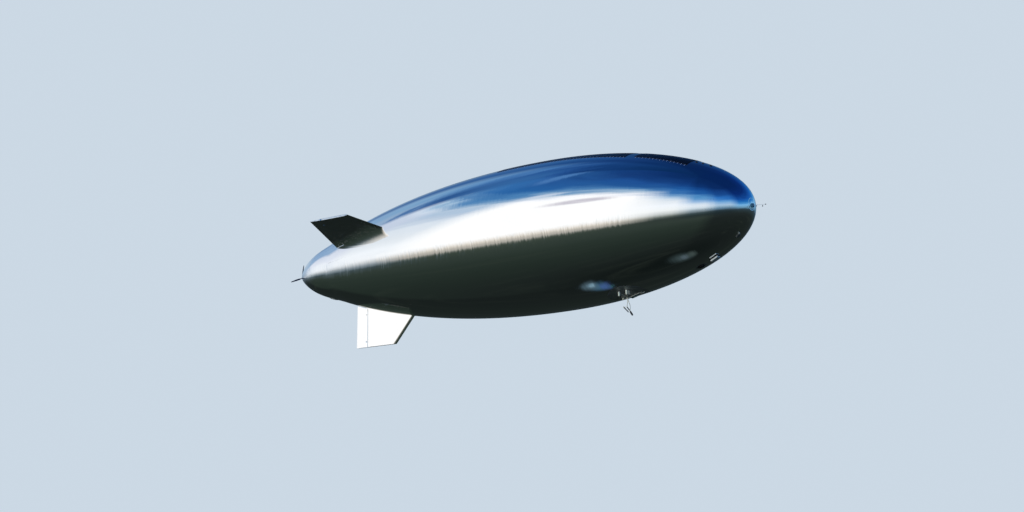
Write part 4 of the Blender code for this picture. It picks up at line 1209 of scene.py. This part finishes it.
def build_cone():
    cone = Shape()
    spots = [(TAIL_OPENING_X + 0.059, 0.353), (TAIL_OPENING_X, 0.365)]
    for i in range(15):
        x = TAIL_OPENING_X - 0.0003 - (TAIL_OPENING_X - CONE_END_X - 0.0003) * i / 14
        spots.append((x, hull_radius(x)))
    spots += [(CONE_END_X - 0.0001, hull_radius(CONE_END_X) - 0.008), (CONE_END_X, 0.12), (CONE_END_X, 0.02)]
    cone.lathe(ORIGIN, X, spots, 96, Y, flip=True)
    cone.done("tail_cone_shell", "cap_film", replaces="tail_cone")
    studs = Shape()
    for x in (TAIL_OPENING_X - 0.016, TAIL_OPENING_X + 0.03):
        for i in range(TAIL_STUDS):
            foot, above = (on_hull(x, 2 * math.pi * i / TAIL_STUDS, out) for out in (-0.002, 1.0))
            studs.lathe(foot, above - foot, mm(0, 6, 4, 6, 6, 3.6, 6.5, 1.2), 8)
    studs.done("tail_studs", "motor_shell", "fork_metal", crease=None)


def blade_section():
    """Corners of a blade's section as shares of chord and thickness."""
    spots = []
    for i in range(SECTION_CORNERS):
        turn = 2 * math.pi * i / SECTION_CORNERS
        along, up = math.cos(turn), math.sin(turn)
        fall = math.sqrt(max(0.0, (1 - along) / 2)) if along > 0 else 1.0
        spots.append((along * 0.5, up * (0.5 if up > 0 else 0.3) * (0.75 + 0.25 * fall)))
    return spots


def build_drive():
    """Motor and propeller."""
    pivot = X * PIVOT_X
    back = X * -math.cos(MOTOR_YAW) - Y * math.sin(MOTOR_YAW)
    motor = Shape()
    profile = mm(0, 34, 0, 42, 4, 47, 10, 48)
    for i in range(8):
        profile += mm(0, 48, 1, 44.5, 5, 44.5, 6, 48, at=0.018 + 0.011 * i)
    profile += mm(115, 48, 120, 46, 123, 40, 123, 14)
    motor.lathe(pivot - back * 0.048, back, profile, 32)
    for side in (-Z, Z):
        motor.lathe(pivot + side * 0.040, side, mm(0, 10, 30, 10), 16)
        motor.lathe(pivot + side * 0.046, side, mm(0, 17, 8, 17, 10, 15, 11, 10), 16)
    motor.done("tail_motor_body", "motor_shell", body="tail_motor", replaces="tail_motor")

    hub_start = pivot + back * (MOTOR_AFT + HUB_GAP)
    centre = hub_start + back * (HUB_LENGTH / 2)
    prop = Shape()
    prop.lathe(hub_start - back * (HUB_GAP - 0.0003), back, mm(
        0, 6, 0, 12, 4.7, 12, 4.7, 36, 8, 41, 12, 42, 62, 42, 66, 40, 74.7, 40, 84, 37.5, 94, 31, 100, 23,
        103.7, 14, 104.7, 4,
    ), 40)
    lateral = back.cross(Z)
    for azimuth in BLADE_AZIMUTHS:
        turn = math.radians(azimuth)
        outward = lateral * math.cos(turn) + Z * math.sin(turn)
        across = back.cross(outward).normalized()
        rows = []
        for share, chord, thick, pitch in BLADE_SECTIONS:
            lean = math.radians(pitch)
            run = (across * math.cos(lean) + back * math.sin(lean)) * (chord * BLADE_BROAD)
            rise = (back * math.cos(lean) - across * math.sin(lean)) * thick
            place = centre + outward * (BLADE_RADIUS * share)
            rows.append([place + run * a + rise * b for a, b in blade_section()])
        prop.grid(rows, wrap=True, close=True, flip=True)
        prop.lathe(centre + outward * 0.034, outward, mm(0, 20, 12, 20, 15, 17, 15.5, 14), 16)
    prop.done("propeller_blades", "blade_carbon", body="propeller", replaces="propeller", crease=50)


ROLL_LENGTH = 5.6
CELL_PITCH = 0.1125


def film(white, haze, low, high, tick):
    """Mirror film: a tone for each gore and roll, light dulling, and ticks along the horizon's image."""
    def build(n, place):
        x, y, z = n.split(place)
        angle = n.math("ARCTAN2", z, y)
        gore = n.math("FLOOR", n.times(n.plus(angle, math.pi / GORES), GORES / (2 * math.pi)))
        roll = n.math("FLOOR", n.plus(n.over(x, ROLL_LENGTH), n.times(gore, 0.37)))
        mist = n.noise(place, 0.55, 4.0, 0.55)
        grime = n.noise(place, 4.0, 5.0, 0.6)
        shade = n.plus(n.times(n.odd(gore, roll), 0.30), n.times(mist, 0.7))
        girth = n.math("SQRT", n.math("MULTIPLY_ADD", y, y, n.times(z, z)))
        off = n.over(n.math("MULTIPLY_ADD", girth, LEVEL_SHARE, z), TICK_WIDTH)
        fall = n.times(n.step(n.math("ABSOLUTE", off), 2.6, 0.8), n.step(x, 11.5, 8.0, 0.10, 1.0))
        ticks = n.less(n.noise(n.join(n.times(x, 6.2), 0.0, 0.0), 1.0, 3.5, 0.7), 0.5)
        burst = n.step(n.noise(n.join(n.times(x, 1.1), 0.0, 3.0), 1.0, 1.0), 0.36, 0.64, 0.45, 2.1)
        local = n.times(n.times(off, fall), n.times(ticks, burst))
        fine = n.noise(n.join(n.times(x, 4.6), n.times(y, 0.75), n.times(z, 0.75)), 1.0, 3.0, 0.6)
        height = n.math("MULTIPLY_ADD", local, tick, n.times(fine, tick * 0.06))
        return {
            "Base Color": n.mix(shade, white, haze),
            "Roughness": n.step(n.plus(n.times(mist, 0.7), n.times(grime, 0.3)), 0.3, 0.75, low, high),
            "Normal": n.bump(height, 1.0, 1.0),
        }
    return build


def painted(light, deep, scale, low, high, grain=0.0008):
    """A surface mottled between two colours and two roughnesses."""
    def build(n, place):
        cloud = n.noise(place, scale, 5.0, 0.6)
        speck = n.noise(place, scale * 14, 2.0, 0.6)
        worn = n.step(n.plus(n.times(cloud, 0.7), n.times(speck, 0.3)), 0.35, 0.7)
        return {
            "Base Color": n.mix(worn, light, deep),
            "Roughness": n.step(cloud, 0.3, 0.7, low, high),
            "Normal": n.bump(speck, 0.6, grain),
        }
    return build


def woven(light, deep, pitch):
    """Carbon cloth under resin."""
    def build(n, place):
        x, y, z = n.split(place)
        a, b = (n.math("SINE", n.times(way, math.pi / pitch)) for way in (n.plus(x, y), n.less(z, x)))
        share = n.step(n.times(n.times(a, b), 0.5), -0.4, 0.4)
        return {
            "Base Color": n.mix(share, light, deep),
            "Roughness": n.step(n.noise(place, 6.0), 0.3, 0.7, 0.28, 0.42),
            "Normal": n.bump(share, 0.3, 0.0006),
        }
    return build


def cells(n, place):
    """Dark solar cells in a grid of fine lines."""
    x, y, z = n.split(place)
    girth = n.times(n.math("ARCTAN2", y, z), HULL_RADIUS)
    places = [n.over(value, CELL_PITCH) for value in (x, girth)]
    lines = n.math("MAXIMUM", *(
        n.step(n.math("ABSOLUTE", n.less(n.math("FRACT", value), 0.5)), 0.45, 0.48) for value in places
    ))
    odd = n.odd(*(n.math("FLOOR", value) for value in places))
    base = n.mix(odd, srgb(5, 9, 20), srgb(10, 16, 30))
    return {
        "Base Color": n.mix(n.times(lines, 0.7), base, srgb(40, 50, 68)),
        "Roughness": n.step(n.noise(place, 1.3, 4.0, 0.6), 0.3, 0.7, 0.20, 0.34),
        "Normal": n.bump(lines, 0.4, 0.0015),
    }


METAL = {"Metallic": 1.0}
# Mottled finishes: two display colours, scale, two roughnesses, and any other socket
PAINTS = {
    "array_sheet": ((20, 28, 44), (12, 18, 30), 4.0, 0.5, 0.65, {"Specular_IOR_Level": 0.25}),
    "lace": ((136, 158, 196), (100, 122, 160), 8.0, 0.5, 0.7, {}),
    "dark_fitting": ((44, 50, 56), (26, 30, 34), 14.0, 0.35, 0.55, {"Metallic": 0.4}),
    "probe_metal": ((100, 104, 112), (70, 74, 82), 20.0, 0.25, 0.42, METAL),
    "fork_metal": ((150, 154, 160), (112, 116, 124), 24.0, 0.26, 0.42, METAL),
    "motor_shell": ((66, 70, 80), (42, 46, 54), 18.0, 0.32, 0.5, {"Metallic": 0.6}),
    "white_tube": ((226, 228, 222), (188, 192, 186), 16.0, 0.35, 0.55, {}),
    "white_canister": ((222, 226, 216), (186, 190, 178), 9.0, 0.32, 0.5, {}),
    "pale_housing": ((222, 226, 226), (184, 190, 192), 7.0, 0.32, 0.5, {}),
    "disc_ring": ((72, 124, 152), (52, 102, 130), 12.0, 0.3, 0.45, {}),
    "disc": ((58, 112, 140), (38, 88, 116), 12.0, 0.3, 0.45, {}),
    "eye_plate": ((116, 118, 114), (84, 86, 84), 12.0, 0.3, 0.5, {"Metallic": 0.1}),
    "probe_dark": ((66, 72, 84), (44, 48, 58), 20.0, 0.3, 0.5, {}),
    "probe_pale": ((150, 172, 196), (124, 146, 172), 20.0, 0.3, 0.5, {}),
    "grey_canister": ((140, 146, 142), (112, 118, 114), 9.0, 0.35, 0.5, {}),
    "vent": ((120, 128, 130), (88, 96, 98), 9.0, 0.3, 0.5, {"Metallic": 0.7}),
    # Pale finish of the tip tapes and hinge lugs; its blue tint is painted sky reflection
    "fin_tip": ((214, 224, 236), (190, 202, 216), 6.0, 0.35, 0.5, {}),
}
FINISHES = {
    "mirror_film": (film((0.93, 0.935, 0.94), (0.87, 0.88, 0.885), 0.03, 0.055, 0.021), METAL),
    "fin_film": (film((0.94, 0.94, 0.94), (0.90, 0.905, 0.91), 0.08, 0.14, 0.002), METAL),
    "seam_tape": (painted((0.90, 0.91, 0.92), (0.82, 0.83, 0.84), 3.0, 0.14, 0.22), METAL),
    "cap_film": (painted((0.88, 0.89, 0.90), (0.80, 0.82, 0.84), 5.0, 0.08, 0.16), METAL),
    # Dark rough metal of the belly sheets that paint shade
    "painted_shade_patch": (painted((0.66, 0.67, 0.68), (0.56, 0.57, 0.58), 5.0, 0.46, 0.58, 0.002), METAL),
    "grey_foot": (painted(srgb(52, 56, 60), srgb(30, 33, 36), 30.0, 0.55, 0.8, 0.002), {}),
    "valve_rubber": (painted(srgb(28, 28, 29), srgb(14, 14, 15), 20.0, 0.5, 0.75, 0.002), {}),
    "solar_cell": (cells, {"Specular_IOR_Level": 0.22}),
}
# Carbon cloth: two display colours, pitch, weight and roughness of the resin coat
WEAVES = {
    "blade_carbon": ((48, 62, 84), (30, 40, 58), 0.012, 0.5, 0.15),
    "dark_carbon": ((42, 48, 52), (22, 26, 28), 0.010, 0.3, 0.25),
    "boom": ((84, 112, 118), (62, 86, 92), 0.010, 0.2, 0.3),
}
# Where a CAD material isn't dressed by its own name
CAD_LOOKS = {"flap_film": "fin_film", "solar_cells": "solar_cell"}


def build_finishes():
    for name, (build, sockets) in FINISHES.items():
        LOOKS[name] = material(name + "_look", build, **sockets)
    for name, (light, deep, scale, low, high, sockets) in PAINTS.items():
        build = painted(srgb(*light), srgb(*deep), scale, low, high)
        LOOKS[name] = material(name + "_look", build, **sockets)
    for name, (light, deep, pitch, weight, rough) in WEAVES.items():
        build = woven(srgb(*light), srgb(*deep), pitch)
        LOOKS[name] = material(name + "_look", build, Coat_Weight=weight, Coat_Roughness=rough)


def dress_cad():
    """Every CAD node that still shows gets its worked-up material."""
    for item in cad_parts.values():
        for spot in item.material_slots:
            if spot.material:
                plain = spot.material.name.split(".")[0]
                spot.material = LOOKS[CAD_LOOKS.get(plain, plain)]


def main():
    steps = (
        build_camera, build_world, build_floor, build_fill, build_finishes, build_hull, build_fins,
        build_flaps, build_arrays, build_crest_domes, build_nose, build_probe, build_patches, build_frame,
        build_payload, build_skid, build_belly, build_fork, build_cone, build_drive, dress_cad,
    )
    for step in steps:
        step()
    view = bpy.context.scene.view_settings
    view.view_transform = "Standard"
    view.look = "None"


main()
